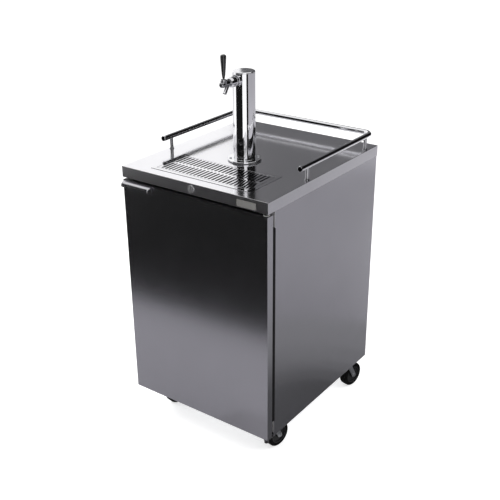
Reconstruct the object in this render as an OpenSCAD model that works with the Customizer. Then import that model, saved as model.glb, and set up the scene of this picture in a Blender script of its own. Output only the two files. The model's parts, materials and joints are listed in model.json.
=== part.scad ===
// Draft beer cooler: one-door keg cabinet on castors, with a one-tap column on its deck.
// Millimetres, +Z up, front towards -Y. The origin is on the floor, under the middle of the overall box.

/* [Cabinet] */
// Width over the countertop skirt
top_w = 597; // [580:1:660]
// Depth of the countertop, front face to back face
top_d = 685; // [670:1:740]
// Height of the deck above the floor
top_z = 990; // [970:1:1050]
// Height of the skirt that hangs from the deck
skirt_h = 38; // [36:1:46]
// Thickness of the deck and skirt sheet
deck_t = 1.5; // [1:0.1:2]
// Thickness of the cabinet and door sheet
sheet_t = 1.2; // [0.8:0.1:1.6]
// Thickness of the base frame plate
base_t = 3; // [2:0.5:5]
// Height of the base frame's lips
base_lip_h = 22; // [15:1:40]
// Height of the cabinet underside above the floor
castor_h = 118; // [116:1:130]
// Width of the side panels' folded back edge
fold_w = 18; // [12:1:25]

/* [Insulation] */
// Side wall between panel and liner
wall_side = 43; // [38:1:46]
// Floor wall under the keg
wall_floor = 84; // [75:1:95]
// Roof wall under the deck
wall_roof = 118; // [105:1:125]
// Rear walls of the cold space
wall_back = 45; // [35:1:50]
// Depth of the machine compartment
machine_d = 169.1; // [165:0.1:190]
// Height of the machine compartment
machine_h = 334; // [320:1:345]
// Thickness of the keg floor plate
keg_floor_t = 3; // [2:0.5:5]
// Gap round the keg floor plate
keg_floor_gap = 2; // [1:0.5:4]

/* [Door] */
// Depth of the door pan
door_t = 28; // [26:1:32]
// Gap between the door and the skirt above it
door_gap = 9; // [8:0.5:12]
// Rise of the door's bottom edge over the cabinet underside
door_rise = 3; // [3:0.5:5]
// Gap between the door pan and the cabinet front
seal_gap = 11; // [10:0.5:13]
// Hinge pin, from the door's side edge
hinge_in = 13; // [11:0.5:14]
// Hinge pin, from the back of the door pan
hinge_back = 15; // [14:0.5:17]
// Room left when the door's corner swings past the breaker frame
swing_clear = 0.65; // [0.5:0.05:1]
// Gap between the seal and the breaker frame
seal_rest = 0.3; // [0.2:0.05:0.4]
// Breaker frame, from the outside of the side panels
breaker_edge = 1; // [0.5:0.5:8]
// Breaker frame width above and below the opening
breaker_w = 25; // [20:1:30]
// Seal, from the edges of the breaker frame and the opening
seal_inset = 4; // [2:0.5:6]
// Depth of the raised panel on the door liner
dyke_d = 12; // [6:1:20]
// Gap between the raised panel and the opening
dyke_gap = 12; // [8:1:20]
// Hinge pin radius
pin_r = 4; // [3:0.5:5]
// Hinge pin length inside the door
pin_len = 14; // [10:1:20]
// Hinge bush radius
bush_r = 8; // [7:0.5:9]
// Hinge bush flange radius
bush_flange_r = 10; // [9:0.5:11]
// Gap between the door's top edge and the upper hinge bracket
hinge_gap = 2.5; // [2:0.25:4]
// Thickness of the hinge brackets
bracket_t = 4; // [3:0.5:5]
// Reach of the upper hinge bracket up its mounting face
bracket_len = 28; // [20:1:32]
// Gap between the lower hinge bracket and the castor plate behind it
bracket_gap = 2; // [1:0.5:5]
// Bracket width inboard of the pin
bracket_w = 20; // [15:1:30]
// Radius of the boss under the lower hinge bracket
pin_boss_r = 7.5; // [6:0.5:10]
// Length of the boss under the lower hinge bracket
pin_boss_l = 12; // [8:1:16]

/* [Door handle] */
// Length of the handle
handle_l = 122; // [80:1:160]
// Handle, from the door's opening edge
handle_in = 6.5; // [3:0.5:12]
// Top of the handle, below the door's top edge
handle_below = 2; // [1:0.5:5]
// Projection in front of the door
handle_out = 18; // [16:1:24]
// Sheet thickness of the handle
handle_t = 2; // [1.5:0.25:3]
// Radius of the bend in its front
handle_bend = 14; // [8:0.5:15]
// Height of the lip below the bend
handle_lip = 4; // [3:0.5:12]
// Height of its flange on the door
handle_flange = 26; // [22:1:45]
// Size of the cut corner at its inner end
handle_cut = 6; // [5:1:16]

/* [Lock and nameplate] */
// Escutcheon radius
lock_face_r = 13; // [11:0.5:15]
// Escutcheon thickness
lock_face_t = 2.5; // [1.5:0.5:4]
// Lock barrel radius
lock_r = 9.5; // [8:0.5:10]
// Lock barrel length behind the skirt face
lock_l = 24; // [18:1:26]
// Lock plug radius
plug_r = 6; // [4:0.5:7]
// Cam thickness
cam_t = 3; // [2:0.5:4]
// Cam width
cam_w = 10; // [8:0.5:12]
// Room between the turned cam and the door
cam_clear = 3.5; // [2:0.5:6]
// Nameplate width
name_w = 73; // [50:1:100]
// Nameplate height
name_h = 23; // [16:1:26]
// Nameplate thickness
name_t = 1; // [0.5:0.1:1.5]
// Middle of the nameplate, below the lock's axis
name_drop = 4; // [0:0.5:5]
// Nameplate, from the right end of the skirt
name_in = 45; // [30:1:80]

/* [Drip tray] */
// Width over the rim
tray_w = 408; // [360:1:440]
// Depth over the rim
tray_d = 175; // [150:1:180]
// Front of the rim, from the front of the deck
tray_setback = 40; // [30:1:45]
// Width of the rim
tray_rim = 14; // [10:1:18]
// Width of the ledge that carries the grid
tray_ledge = 5; // [3:0.5:8]
// Depth of the basin below the deck
tray_depth = 20; // [15:1:30]
// Thickness of the tray sheet
tray_t = 1.2; // [0.8:0.1:2]
// Thickness of the grid
grid_t = 2; // [1.5:0.25:3]
// Gap round the grid
grid_gap = 0.8; // [0.5:0.1:1.5]
// Slot width
slot_w = 6.5; // [4:0.5:8]
// Slot length
slot_l = 62; // [40:1:64]
// Slot spacing
slot_pitch = 15; // [11:0.5:20]
// Drain stub radius
drain_r = 8; // [6:0.5:10]
// Drain stub wall
drain_wall = 2; // [1.5:0.25:3]
// Drain spigot radius, for a hose
spigot_r = 7; // [5:0.25:7.5]
// Drain spigot length below the cold space roof
drain_out = 25; // [20:1:40]

/* [Gallery rail] */
// Rail tube radius
rail_r = 9.5; // [7:0.5:11]
// Rail centre height above the deck
rail_h = 46.5; // [40:0.5:70]
// Side runs, from the edge of the deck
rail_in = 15.5; // [15:0.5:30]
// Back run, from the back of the deck
rail_back = 21; // [20:1:40]
// Open ends, from the front of the deck
rail_front = 196; // [190:1:240]
// Bend radius of the corners
rail_bend = 30; // [20:1:50]
// Front posts, behind the open ends
post_front = 43; // [25:1:80]
// Back posts, from the back run's centre line
post_back = 47; // [30:1:80]
// Post radius
post_r = 6; // [4:0.5:7]
// Post foot radius
post_foot_r = 8; // [7:0.5:13]
// Post foot thickness
post_foot_t = 3; // [2:0.5:5]
// Post stud radius
stud_r = 4; // [3:0.5:5]
// Post stud length below the deck
stud_l = 12; // [8:1:20]

/* [Column] */
// Column axis, from the front of the deck
column_setback = 289; // [285:1:300]
// Column radius
column_r = 38; // [35:0.5:44]
// Column wall
column_wall = 1.5; // [1:0.25:3]
// Height of the column's top above the deck
column_h = 305; // [280:1:400]
// Base flange radius
flange_r = 58; // [56:1:66]
// Base flange thickness
flange_t = 5; // [4:0.5:8]
// Gasket thickness
gasket_t = 2; // [1:0.5:3]
// Radius of the hole through deck and roof
chase_r = 25; // [18:1:30]
// Cap thickness
cap_t = 6; // [4:0.5:10]
// Cap plug depth
cap_plug = 5; // [3:0.5:6]
// Radius of the circle of flange screws
screw_circle_r = 48; // [46:0.5:50]
// Flange screw radius
screw_r = 2.5; // [2:0.25:3]
// Flange screw length below the flange
screw_l = 20; // [12:1:30]

/* [Tap] */
// Tap axis, below the column's top
tap_drop = 26; // [26:0.5:60]
// Shank radius
shank_r = 11; // [10:0.5:12]
// Shank bore radius
shank_bore_r = 5; // [4:0.5:6]
// Saddle collar radius
saddle_r = 19; // [17:0.5:21]
// Saddle collar, out from the column
saddle_t = 8; // [5:0.5:12]
// Coupling nut radius
nut_r = 17.5; // [16:0.5:20]
// Coupling nut length
nut_l = 35; // [30:1:40]
// Shank length past the saddle
shank_out = 20; // [14:1:24]
// Shank length inside the column, past its axis
shank_in = 20; // [10:1:28]
// Barrel radius
barrel_r = 10; // [9:0.5:10.5]
// Barrel length past the coupling nut
barrel_l = 43; // [40:1:60]
// Lever, back from the barrel's tip
lever_back = 16; // [15:0.5:26]
// Lever pivot above the barrel axis
pivot_up = 8; // [7.5:0.25:8.5]
// Lever ball radius
ball_r = 5.5; // [5:0.25:5.75]
// Lever stem radius
stem_r = 3; // [2.5:0.25:3.25]
// Bonnet radius
bonnet_r = 11; // [10.5:0.25:12]
// Tap shaft radius
shaft_r = 4.5; // [4:0.25:5]
// Spout radius
spout_r = 7; // [6:0.25:8]
// Spout bore radius
spout_bore_r = 4.5; // [3.5:0.25:5]
// Spout length from the barrel axis
spout_l = 38; // [32:1:50]
// Spout slope forward of straight down
spout_tilt = 35; // [20:1:40]
// Handle foot above the pivot
knob_up = 14; // [13:0.5:18]
// Handle length
knob_l = 74; // [60:1:120]
// Handle radius near its top
knob_r = 10; // [8:0.5:14]
// Handle radius at its foot
knob_foot_r = 4.5; // [4:0.25:5]

/* [Castors] */
// Wheel diameter
wheel_d = 96; // [80:1:98]
// Wheel width
wheel_w = 30; // [24:1:34]
// Hub radius
hub_r = 34; // [22:1:34]
// Axle radius
axle_r = 5; // [4:0.5:6]
// Trail from swivel axis to axle
trail = 32; // [25:1:36]
// How far the castors are swivelled at rest
castor_turn = -10; // [-30:1:30]
// Front swivel axes, from the cabinet sides
castor_front_side = 64; // [57:1:97]
// Rear swivel axes, from the cabinet sides
castor_rear_side = 41; // [39:1:77]
// Front swivel axes, from the cabinet front
castor_front_in = 68; // [66:1:90]
// Rear swivel axes, from the cabinet back
castor_rear_in = 84; // [60:1:110]
// Top plate width across the cabinet
plate_w = 70; // [64:1:74]
// Top plate length front to back
plate_l = 92; // [88:1:100]
// Top plate thickness
plate_t = 4; // [3:0.5:5]
// Plate bolt radius
bolt_r = 4; // [3:0.5:4.5]
// Bolts, from the plate's edges
bolt_in = 9; // [8:0.5:11]
// Swivel race radius
race_r = 26; // [24:0.5:28]
// Swivel race thickness
race_t = 6; // [4:0.5:7]
// King pin radius
king_r = 6; // [5:0.5:8]
// Fork leg thickness
leg_t = 3.5; // [2.5:0.25:5]
// Gap between wheel and fork leg
leg_gap = 2; // [1.5:0.25:3]

/* [Cooling unit] */
// Compressor shell radius
comp_r = 72; // [60:1:78]
// Compressor shell height
comp_h = 175; // [140:1:220]
// Compressor axis, from the left side panel
comp_side = 147; // [135:1:155]
// Width of the compressor's foot plate past its shell
comp_plate_out = 10; // [5:1:20]
// Gap between the compressor's foot plate and the condenser
comp_gap = 48; // [30:1:60]
// Condenser end, from the right side panel
cond_edge = 47; // [35:1:60]
// Condenser height
cond_h = 270; // [220:1:300]
// Coil thickness
coil_t = 40; // [30:1:45]
// Condenser fan radius
cond_fan_r = 95; // [70:1:100]
// Condenser motor radius
cond_motor_r = 38; // [28:1:45]
// Evaporator cover width
evap_w = 380; // [320:1:420]
// Evaporator cover depth
evap_d = 125; // [115:1:140]
// Evaporator cover height
evap_h = 260; // [240:1:290]
// Evaporator cover, below the cold space roof
evap_drop = 30; // [20:1:60]
// Evaporator fan radius
evap_fan_r = 70; // [50:1:80]
// Evaporator motor radius
evap_motor_r = 28; // [20:1:32]
// Fan shaft radius
fan_shaft_r = 3; // [2:0.5:4]
// Thermostat knob radius
dial_r = 20; // [14:1:25]
// Thermostat knob depth
dial_d = 18; // [12:1:25]
// Hole for the mains lead
gland_r = 10; // [7:0.5:14]
// Louvre slot height in the back panel
louvre_h = 8; // [5:0.5:12]
// Louvre slot length
louvre_l = 210; // [150:1:230]
// Louvre spacing
louvre_pitch = 22; // [18:1:30]

/* [Hidden] */
$fn = 64;
// A cut reaches this far past the face that it goes through
over = 1;
// Running clearance of a pin or shaft in its bore
run = 0.06;
// Gap between faces that turn past each other
slip = 0.3;
// Fit of a piece that is pushed into its hole
snug = 0.05;
// Seam between sheets that are riveted or soldered together
seam = 0.1;

y_front = (handle_out - top_d) / 2;
y_back = y_front + top_d;
panel_x = top_w / 2 - deck_t;
inner_x = panel_x - sheet_t;
cab_y0 = y_front + door_t + seal_gap;
cab_y1 = y_back - deck_t;
back_in = cab_y1 - 2 * sheet_t;
base_z = castor_h;
floor_z = base_z + base_t;
deck_under = top_z - deck_t;

open_x = inner_x - wall_side;
open_z0 = floor_z + wall_floor;
open_z1 = deck_under - wall_roof;
liner_y1 = back_in - wall_back;
mach_y0 = back_in - machine_d;
step_y = mach_y0 - wall_back;
mach_z1 = floor_z + machine_h;
step_z = mach_z1 + wall_back;

door_z0 = base_z + door_rise;
door_z1 = top_z - skirt_h - door_gap;
door_back = y_front + door_t;
pin_x = panel_x - hinge_in;
pin_y = door_back - hinge_back;
sweep = sqrt(hinge_in * hinge_in + hinge_back * hinge_back) - hinge_back;
breaker_t = seal_gap - sweep - swing_clear;
seal_t = sweep + swing_clear - seal_rest;
breaker_x = panel_x - breaker_edge;
breaker_z0 = open_z0 - breaker_w;
breaker_z1 = open_z1 + breaker_w;
upper_z = door_z1 + hinge_gap;

lock_z = top_z - skirt_h / 2;
cam_l = lock_z - door_z1 - cam_clear;

tray_y = y_front + tray_setback + tray_d / 2;
basin_w = tray_w - 2 * tray_rim;
basin_d = tray_d - 2 * tray_rim;
lower_w = basin_w - 2 * tray_ledge;
lower_d = basin_d - 2 * tray_ledge;
basin_z = top_z - tray_depth;
rim_top = top_z + tray_t;
grid_z = rim_top - grid_t;

rail_x = top_w / 2 - rail_in;
rail_z = top_z + rail_h;
rail_y0 = y_front + rail_front;
rail_y1 = y_back - rail_back;
post_ys = [rail_y0 + post_front, rail_y1 - post_back];

column_y = y_front + column_setback;
flange_z = top_z + gasket_t;
column_z0 = flange_z + flange_t;
column_z1 = top_z + column_h - cap_t;
tap_z = top_z + column_h - tap_drop;
saddle_end = column_r + saddle_t;
shank_end = saddle_end + shank_out;
nut_end = saddle_end + nut_l;
barrel_end = nut_end + barrel_l;
lever_out = barrel_end - lever_back;
lever_y = column_y - lever_out;
pivot_z = tap_z + pivot_up;
// Height of the bonnet's seat and of its top, over the barrel axis
bonnet_z0 = 13;
bonnet_z1 = 16;
// Radius of the mouth that the lever swings in
mouth_r = stem_r + 5.9;
// How far the lever's stem goes into its handle
stem_in = 18;
// Length of the barrel's closed nose
tap_nose = 8;

castor_front_x = panel_x - castor_front_side;
castor_front_y = cab_y0 + castor_front_in;
castor_rear_x = panel_x - castor_rear_side;
castor_rear_y = cab_y1 - castor_rear_in;
castors = [
    [-castor_front_x, castor_front_y],
    [castor_front_x, castor_front_y],
    [-castor_rear_x, castor_rear_y],
    [castor_rear_x, castor_rear_y]
];
axle_z = wheel_d / 2;
race_z = base_z - plate_t - race_t;
crown_z1 = race_z - slip;
crown_t = 6;
crown_z0 = crown_z1 - crown_t;
leg_x = wheel_w / 2 + leg_gap;

// Fan blades: thickness, pitch, width as a share of the radius, and how far the root goes into the hub
blade_t = 2;
blade_pitch = 30;
blade_rise = 0.5;
blade_root = 2;
// How far a fan's blades reach along its axis, each way
function blade_reach(r) = (r * blade_rise * sin(blade_pitch) + blade_t * cos(blade_pitch)) / 2;

// Air gaps behind the condenser and between coil, fan, cover and dial
cond_gap = 20;
fan_gap = 20;
evap_gap = 15;
grille_gap = 22;
dial_gap = 12;
// Fins and rows of tubes in the coils, and blades of a fan
cond_fins = 18;
cond_rows = 8;
evap_fins = 22;
evap_rows = 6;
fan_blades = 5;
// Radius of the fans' hubs
cond_hub_r = 20;
evap_hub_r = 15;
// Half the depth of the fans' hubs
cond_hub_half = 11;
evap_hub_half = 8;
// How far the condenser fan sits above the middle of its coil
cond_fan_up = 14;
mach_y = (mach_y0 + back_in) / 2;
comp_x = panel_x - comp_side;
comp_plate_x = comp_r + comp_plate_out;
cond_x0 = comp_plate_x + comp_gap - comp_x;
cond_x1 = panel_x - cond_edge;
cond_x = (cond_x0 + cond_x1) / 2;
cond_y1 = back_in - cond_gap;
cond_y0 = cond_y1 - coil_t;
cond_fan_z = floor_z + cond_h / 2 + cond_fan_up;
cond_fan_y = cond_y0 - fan_gap;
evap_y0 = liner_y1 - evap_d;
evap_z1 = open_z1 - evap_drop;
evap_z0 = evap_z1 - evap_h;
evap_fan_z = (evap_z0 + evap_z1) / 2;
evap_fan_y = evap_y0 + grille_gap;
evap_coil_y = liner_y1 - coil_t - evap_gap;
dial_x = evap_w / 2 - dial_r - dial_gap;
dial_z = evap_z1 - dial_r - dial_gap;

// Shared shapes

// Box between two corners
module box(low, high) { translate(low) cube(high - low); }

// Outline in Y and Z, made w wide across X and centred there
module across(w) { rotate([90, 0, 90]) translate([0, 0, -w / 2]) linear_extrude(w) children(); }

// Cylinder along X between two places
module rod_x(x0, x1, y, z, r) { translate([x0, y, z]) rotate([0, 90, 0]) cylinder(h = x1 - x0, r = r); }

// Cylinder along Y between two places
module rod_y(y0, y1, x, z, r) { translate([x, y0, z]) rotate([-90, 0, 0]) cylinder(h = y1 - y0, r = r); }

// Tap frame: local Z runs forward from the column's axis and local Y runs up
module tap_frame() { translate([0, column_y, tap_z]) rotate([90, 0, 0]) children(); }

// Castor frame: local origin on the floor below the swivel axis
module castor_frame(i) {
    translate([castors[i][0], castors[i][1], 0]) rotate([0, 0, castor_turn]) children();
}

// Slot outline with round ends, long side along Y
module slot_outline(w, l) {
    square([w, l - w], center = true);
    for (side = [-1, 1]) translate([0, side * (l - w) / 2]) circle(d = w);
}

// Outline of the cold space, grown by o, from the cabinet front or a little ahead of it
function cold_outline(o, front) = [
    [front, open_z0 - o],
    [step_y + o, open_z0 - o],
    [step_y + o, step_z - o],
    [liner_y1 + o, step_z - o],
    [liner_y1 + o, open_z1 + o],
    [front, open_z1 + o]
];

// Holes from the deck down through the roof
module roof_holes(extra) {
    translate([0, column_y, open_z1 - over]) cylinder(h = top_z - open_z1 + 2 * over, r = chase_r);
    translate([0, tray_y, open_z1 - sheet_t - over])
        cylinder(h = top_z - open_z1, r = drain_r + extra);
}

// Places of the four column screws
module screw_places() {
    for (angle = [45:90:315])
        translate([0, column_y, 0]) rotate([0, 0, angle]) translate([screw_circle_r, 0, 0]) children();
}

// Places of the four rail posts
module post_places() {
    for (side = [-1, 1]) for (y = post_ys) translate([side * rail_x, y, 0]) children();
}

// Places of the bolts in all castor plates
module bolt_places() {
    for (c = castors) for (sx = [-1, 1]) for (sy = [-1, 1])
        translate([c[0] + sx * (plate_w / 2 - bolt_in), c[1] + sy * (plate_l / 2 - bolt_in), 0]) children();
}

// Fan with blades set at an angle, axis along Y, at the origin
module fan_shape(r, hub, depth, blades) {
    difference() {
        union() {
            rod_y(-depth / 2, depth / 2, 0, 0, hub);
            for (k = [0:blades - 1]) rotate([0, 360 * k / blades, 0])
                translate([(r + hub) / 2 - blade_root, 0, 0]) rotate([blade_pitch, 0, 0])
                    cube([r - hub, blade_t, r * blade_rise], center = true);
        }
        rod_y(-depth / 2 - over, depth / 2 + over, 0, 0, fan_shaft_r + run);
    }
}

// Coil of tubes through upright fins, between two end plates
module coil_shape(l, t, h, fins, rows) {
    plate = 2;
    fin_t = 1.2;
    fin_in = 12;
    tube_r = 5;
    tube_in = 24;
    fin_h = h - 2 * fin_in;
    row_step = (h - 2 * tube_in) / (rows - 1);
    for (side = [-1, 1]) translate([side * (l - plate) / 2, 0, h / 2]) cube([plate, t, h], center = true);
    fin_step = l / (fins + 1);
    for (k = [1:fins]) translate([k * fin_step - l / 2, 0, h / 2]) cube([fin_t, t, fin_h], center = true);
    for (k = [0:rows - 1]) rod_x(-l / 2, l / 2, 0, tube_in + k * row_step, tube_r);
}

// Cabinet

module base_frame() color("silver") difference() {
    union() {
        box([-inner_x, cab_y0, base_z], [inner_x, back_in, floor_z]);
        for (y = [mach_y0, back_in - sheet_t])
            box([-inner_x, y, base_z], [inner_x, y + sheet_t, floor_z + base_lip_h]);
    }
    bolt_places() translate([0, 0, base_z - over]) cylinder(h = base_t + 2 * over, r = bolt_r);
}

module side_panel() {
    box([inner_x, cab_y0, base_z], [panel_x, cab_y1, deck_under]);
    box([inner_x - fold_w, cab_y1 - sheet_t, base_z], [panel_x, cab_y1, deck_under]);
}
module left_side_panel() color("darkgray") mirror([1, 0, 0]) side_panel();
module right_side_panel() color("darkgray") side_panel();

module back_panel() color("silver") {
    louvre_edge = 20;
    louvre_mid = 15;
    gland_edge = 9;
    louvre_z0 = floor_z + base_lip_h + louvre_edge;
    louvre_x = louvre_mid + louvre_l / 2;
    louvres = floor((mach_z1 - louvre_edge - louvre_z0) / louvre_pitch);
    gland_x = fold_w + gland_edge + gland_r - inner_x;
    gland_z = louvre_z0 + 2 * gland_r;
    difference() {
        box([-inner_x, back_in, base_z], [inner_x, back_in + sheet_t, deck_under]);
        for (side = [-1, 1]) for (k = [0:louvres - 1])
            translate([side * louvre_x, back_in - over, louvre_z0 + (k + 0.5) * louvre_pitch])
                rotate([-90, 90, 0]) linear_extrude(sheet_t + 2 * over) slot_outline(louvre_h, louvre_l);
        rod_y(back_in - over, back_in + sheet_t + over, gland_x, gland_z, gland_r);
    }
}

// Front plate, side sheets, then floor, riser, shelf, back and roof between the side sheets
module inner_liner() color("gainsboro") {
    front = cab_y0 + sheet_t;
    sheet_x = open_x - seam;
    difference() {
        box([-inner_x, cab_y0, floor_z], [inner_x, front, deck_under]);
        box([-open_x, cab_y0 - over, open_z0], [open_x, front + over, open_z1]);
    }
    for (side = [-1, 1]) translate([side * (open_x + sheet_t / 2), 0, 0])
        across(sheet_t) polygon(cold_outline(sheet_t, front + seam));
    box([-sheet_x, front + seam, open_z0 - sheet_t], [sheet_x, step_y + sheet_t, open_z0]);
    box([-sheet_x, step_y, open_z0 + seam], [sheet_x, step_y + sheet_t, step_z - sheet_t - seam]);
    box([-sheet_x, step_y, step_z - sheet_t], [sheet_x, liner_y1 + sheet_t, step_z]);
    box([-sheet_x, liner_y1, step_z + seam], [sheet_x, liner_y1 + sheet_t, open_z1 - seam]);
    difference() {
        box([-sheet_x, front + seam, open_z1], [sheet_x, liner_y1 + sheet_t, open_z1 + sheet_t]);
        roof_holes(slip);
    }
}

module cabinet_foam() color("khaki") {
    foam_y0 = cab_y0 + sheet_t;
    difference() {
        across(2 * inner_x) polygon([
            [foam_y0, floor_z], [mach_y0, floor_z], [mach_y0, mach_z1],
            [back_in, mach_z1], [back_in, deck_under], [foam_y0, deck_under]
        ]);
        across(2 * (open_x + sheet_t)) polygon(cold_outline(sheet_t, foam_y0 - over));
        roof_holes(slip);
        box([-basin_w / 2 - tray_t - slip, tray_y - basin_d / 2 - tray_t - slip, top_z - tray_depth - slip],
            [basin_w / 2 + tray_t + slip, tray_y + basin_d / 2 + tray_t + slip, top_z]);
        screw_places() translate([0, 0, deck_under - screw_l])
            cylinder(h = screw_l + over, r = screw_r + snug);
        post_places() translate([0, 0, top_z - stud_l - over])
            cylinder(h = stud_l + over, r = stud_r + snug);
    }
}

module breaker_frame() color("black") difference() {
    box([-breaker_x, cab_y0 - breaker_t, breaker_z0], [breaker_x, cab_y0, breaker_z1]);
    box([-open_x, cab_y0 - breaker_t - over, open_z0], [open_x, cab_y0 + over, open_z1]);
}

module keg_floor() color("lightgray")
    box([keg_floor_gap - open_x, cab_y0 + keg_floor_gap, open_z0],
        [open_x - keg_floor_gap, step_y - keg_floor_gap, open_z0 + keg_floor_t]);

module countertop() color("lightgray") difference() {
    box([-top_w / 2, y_front, top_z - skirt_h], [top_w / 2, y_back, top_z]);
    box([-panel_x, y_front + deck_t, top_z - skirt_h - over], [panel_x, y_back - deck_t, deck_under]);
    box([-basin_w / 2 - tray_t, tray_y - basin_d / 2 - tray_t, deck_under - over],
        [basin_w / 2 + tray_t, tray_y + basin_d / 2 + tray_t, top_z + over]);
    translate([0, column_y, deck_under - over]) cylinder(h = deck_t + 2 * over, r = chase_r);
    screw_places() translate([0, 0, deck_under - over]) cylinder(h = deck_t + 2 * over, r = screw_r + snug);
    post_places() translate([0, 0, deck_under - over]) cylinder(h = deck_t + 2 * over, r = stud_r + snug);
    rod_y(y_front - over, y_front + deck_t + over, 0, lock_z, lock_r + snug);
}

module nameplate() color("gray") {
    name_x = top_w / 2 - name_in;
    name_z = lock_z - name_drop;
    box([name_x - name_w, y_front - name_t, name_z - name_h / 2], [name_x, y_front, name_z + name_h / 2]);
}

module lock_body() color("silver") {
    back_nut_r = lock_face_r + 1;
    back_nut_t = 4;
    difference() {
        union() {
            rod_y(y_front - lock_face_t, y_front, 0, lock_z, lock_face_r);
            rod_y(y_front - over / 2, y_front + lock_l, 0, lock_z, lock_r);
            rod_y(y_front + deck_t, y_front + deck_t + back_nut_t, 0, lock_z, back_nut_r);
        }
        rod_y(y_front - lock_face_t - over, y_front + lock_l + over, 0, lock_z, plug_r + run);
    }
}

module lock_plug() color("dimgray") {
    key_w = 1.6;
    key_h = 8;
    key_d = 4;
    proud = 0.5;
    face_y = y_front - lock_face_t - proud;
    cam_y = y_front + lock_l + slip;
    difference() {
        union() {
            rod_y(face_y, cam_y + cam_t, 0, lock_z, plug_r);
            box([0, cam_y, lock_z - cam_w / 2], [cam_l - cam_w / 2, cam_y + cam_t, lock_z + cam_w / 2]);
            rod_y(cam_y, cam_y + cam_t, cam_l - cam_w / 2, lock_z, cam_w / 2);
        }
        box([-key_w / 2, face_y - over, lock_z - key_h / 2], [key_w / 2, face_y + key_d, lock_z + key_h / 2]);
    }
}

// Drip tray

// Frame that rests on the deck and carries the grid on its ledge
module tray_frame() color("silver") translate([0, tray_y, 0]) difference() {
    union() {
        box([-tray_w / 2, -tray_d / 2, top_z], [tray_w / 2, tray_d / 2, rim_top]);
        box([-basin_w / 2 - tray_t, -basin_d / 2 - tray_t, grid_z - tray_t],
            [basin_w / 2 + tray_t, basin_d / 2 + tray_t, rim_top]);
    }
    box([-basin_w / 2, -basin_d / 2, grid_z], [basin_w / 2, basin_d / 2, rim_top + over]);
    box([-lower_w / 2, -lower_d / 2, grid_z - tray_t - over], [lower_w / 2, lower_d / 2, grid_z + over]);
}

// Basin of five sheets under the frame's ledge
module tray_pan() color("gray") translate([0, tray_y, 0]) {
    wall_z0 = basin_z + tray_t + seam;
    wall_z1 = grid_z - tray_t;
    out_x = lower_w / 2 + tray_t;
    out_y = lower_d / 2 + tray_t;
    difference() {
        box([-out_x, -out_y, basin_z], [out_x, out_y, basin_z + tray_t]);
        translate([0, 0, basin_z - over]) cylinder(h = tray_t + 2 * over, r = drain_r + snug);
    }
    for (side = [-1, 1]) {
        translate([side * (out_x - tray_t / 2), 0, 0])
            box([-tray_t / 2, -out_y, wall_z0], [tray_t / 2, out_y, wall_z1]);
        translate([0, side * (out_y - tray_t / 2), 0])
            box([seam - lower_w / 2, -tray_t / 2, wall_z0], [lower_w / 2 - seam, tray_t / 2, wall_z1]);
    }
}

// Drain pipe from the basin to a spigot below the cold space's roof
module tray_drain() color("silver") translate([0, tray_y, 0]) {
    stub_z = open_z1 - drain_out;
    pipe_z = basin_z + tray_t;
    difference() {
        union() {
            translate([0, 0, open_z1]) cylinder(h = pipe_z - open_z1, r = drain_r);
            translate([0, 0, stub_z]) cylinder(h = drain_out + over, r = spigot_r);
        }
        translate([0, 0, stub_z - over]) cylinder(h = pipe_z - stub_z + 2 * over, r = spigot_r - drain_wall);
    }
}

module tray_grid() color("silver") {
    grid_w = basin_w - 2 * grid_gap;
    grid_d = basin_d - 2 * grid_gap;
    border = 6;
    count = floor((grid_w - 2 * border - slot_w) / slot_pitch) + 1;
    translate([0, tray_y, grid_z]) linear_extrude(grid_t) difference() {
        square([grid_w, grid_d], center = true);
        for (row = [-1, 1]) for (k = [0:count - 1])
            translate([(k - (count - 1) / 2) * slot_pitch, row * grid_d / 4]) slot_outline(slot_w, slot_l);
    }
}

// Gallery rail

module rail_tube() color("lightgray") {
    bend_x = rail_x - rail_bend;
    bend_y = rail_y1 - rail_bend;
    for (side = [-1, 1]) {
        rod_y(rail_y0, bend_y, side * rail_x, rail_z, rail_r);
        translate([side * bend_x, bend_y, rail_z]) rotate([0, 0, side > 0 ? 0 : 90])
            rotate_extrude(angle = 90) translate([rail_bend, 0]) circle(r = rail_r);
    }
    rod_x(-bend_x, bend_x, rail_y1, rail_z, rail_r);
}

module rail_posts() color("lightgray") difference() {
    post_places() {
        translate([0, 0, top_z]) cylinder(h = rail_h, r = post_r);
        translate([0, 0, top_z]) cylinder(h = post_foot_t, r = post_foot_r);
        translate([0, 0, top_z - stud_l]) cylinder(h = stud_l + over, r = stud_r);
    }
    for (side = [-1, 1]) rod_y(rail_y0 - over, rail_y1, side * rail_x, rail_z, rail_r + snug);
}

// Column

module column_gasket() color("black") difference() {
    gasket_in = 1;
    translate([0, column_y, top_z]) cylinder(h = gasket_t, r = flange_r - gasket_in);
    translate([0, column_y, top_z - over]) cylinder(h = gasket_t + 2 * over, r = chase_r);
    screw_places() translate([0, 0, top_z - over]) cylinder(h = gasket_t + 2 * over, r = screw_r + snug);
}

module column_flange() color("lightgray") {
    socket = column_r - column_wall - snug;
    socket_in = socket - 2;
    socket_h = 12;
    edge = 3;
    difference() {
        translate([0, column_y, flange_z]) rotate_extrude() polygon([
            [chase_r, 0], [flange_r, 0], [flange_r, flange_t / 2], [flange_r - edge, flange_t],
            [socket, flange_t], [socket, flange_t + socket_h], [socket_in, flange_t + socket_h],
            [socket_in, flange_t], [chase_r, flange_t]
        ]);
        screw_places() translate([0, 0, flange_z - over])
            cylinder(h = flange_t + 2 * over, r = screw_r + snug);
    }
}

module column_tube() color("whitesmoke") difference() {
    translate([0, column_y, column_z0]) cylinder(h = column_z1 - column_z0, r = column_r);
    translate([0, column_y, column_z0 - over])
        cylinder(h = column_z1 - column_z0 + 2 * over, r = column_r - column_wall);
    tap_frame() cylinder(h = 2 * column_r, r = shank_r + snug);
}

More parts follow.
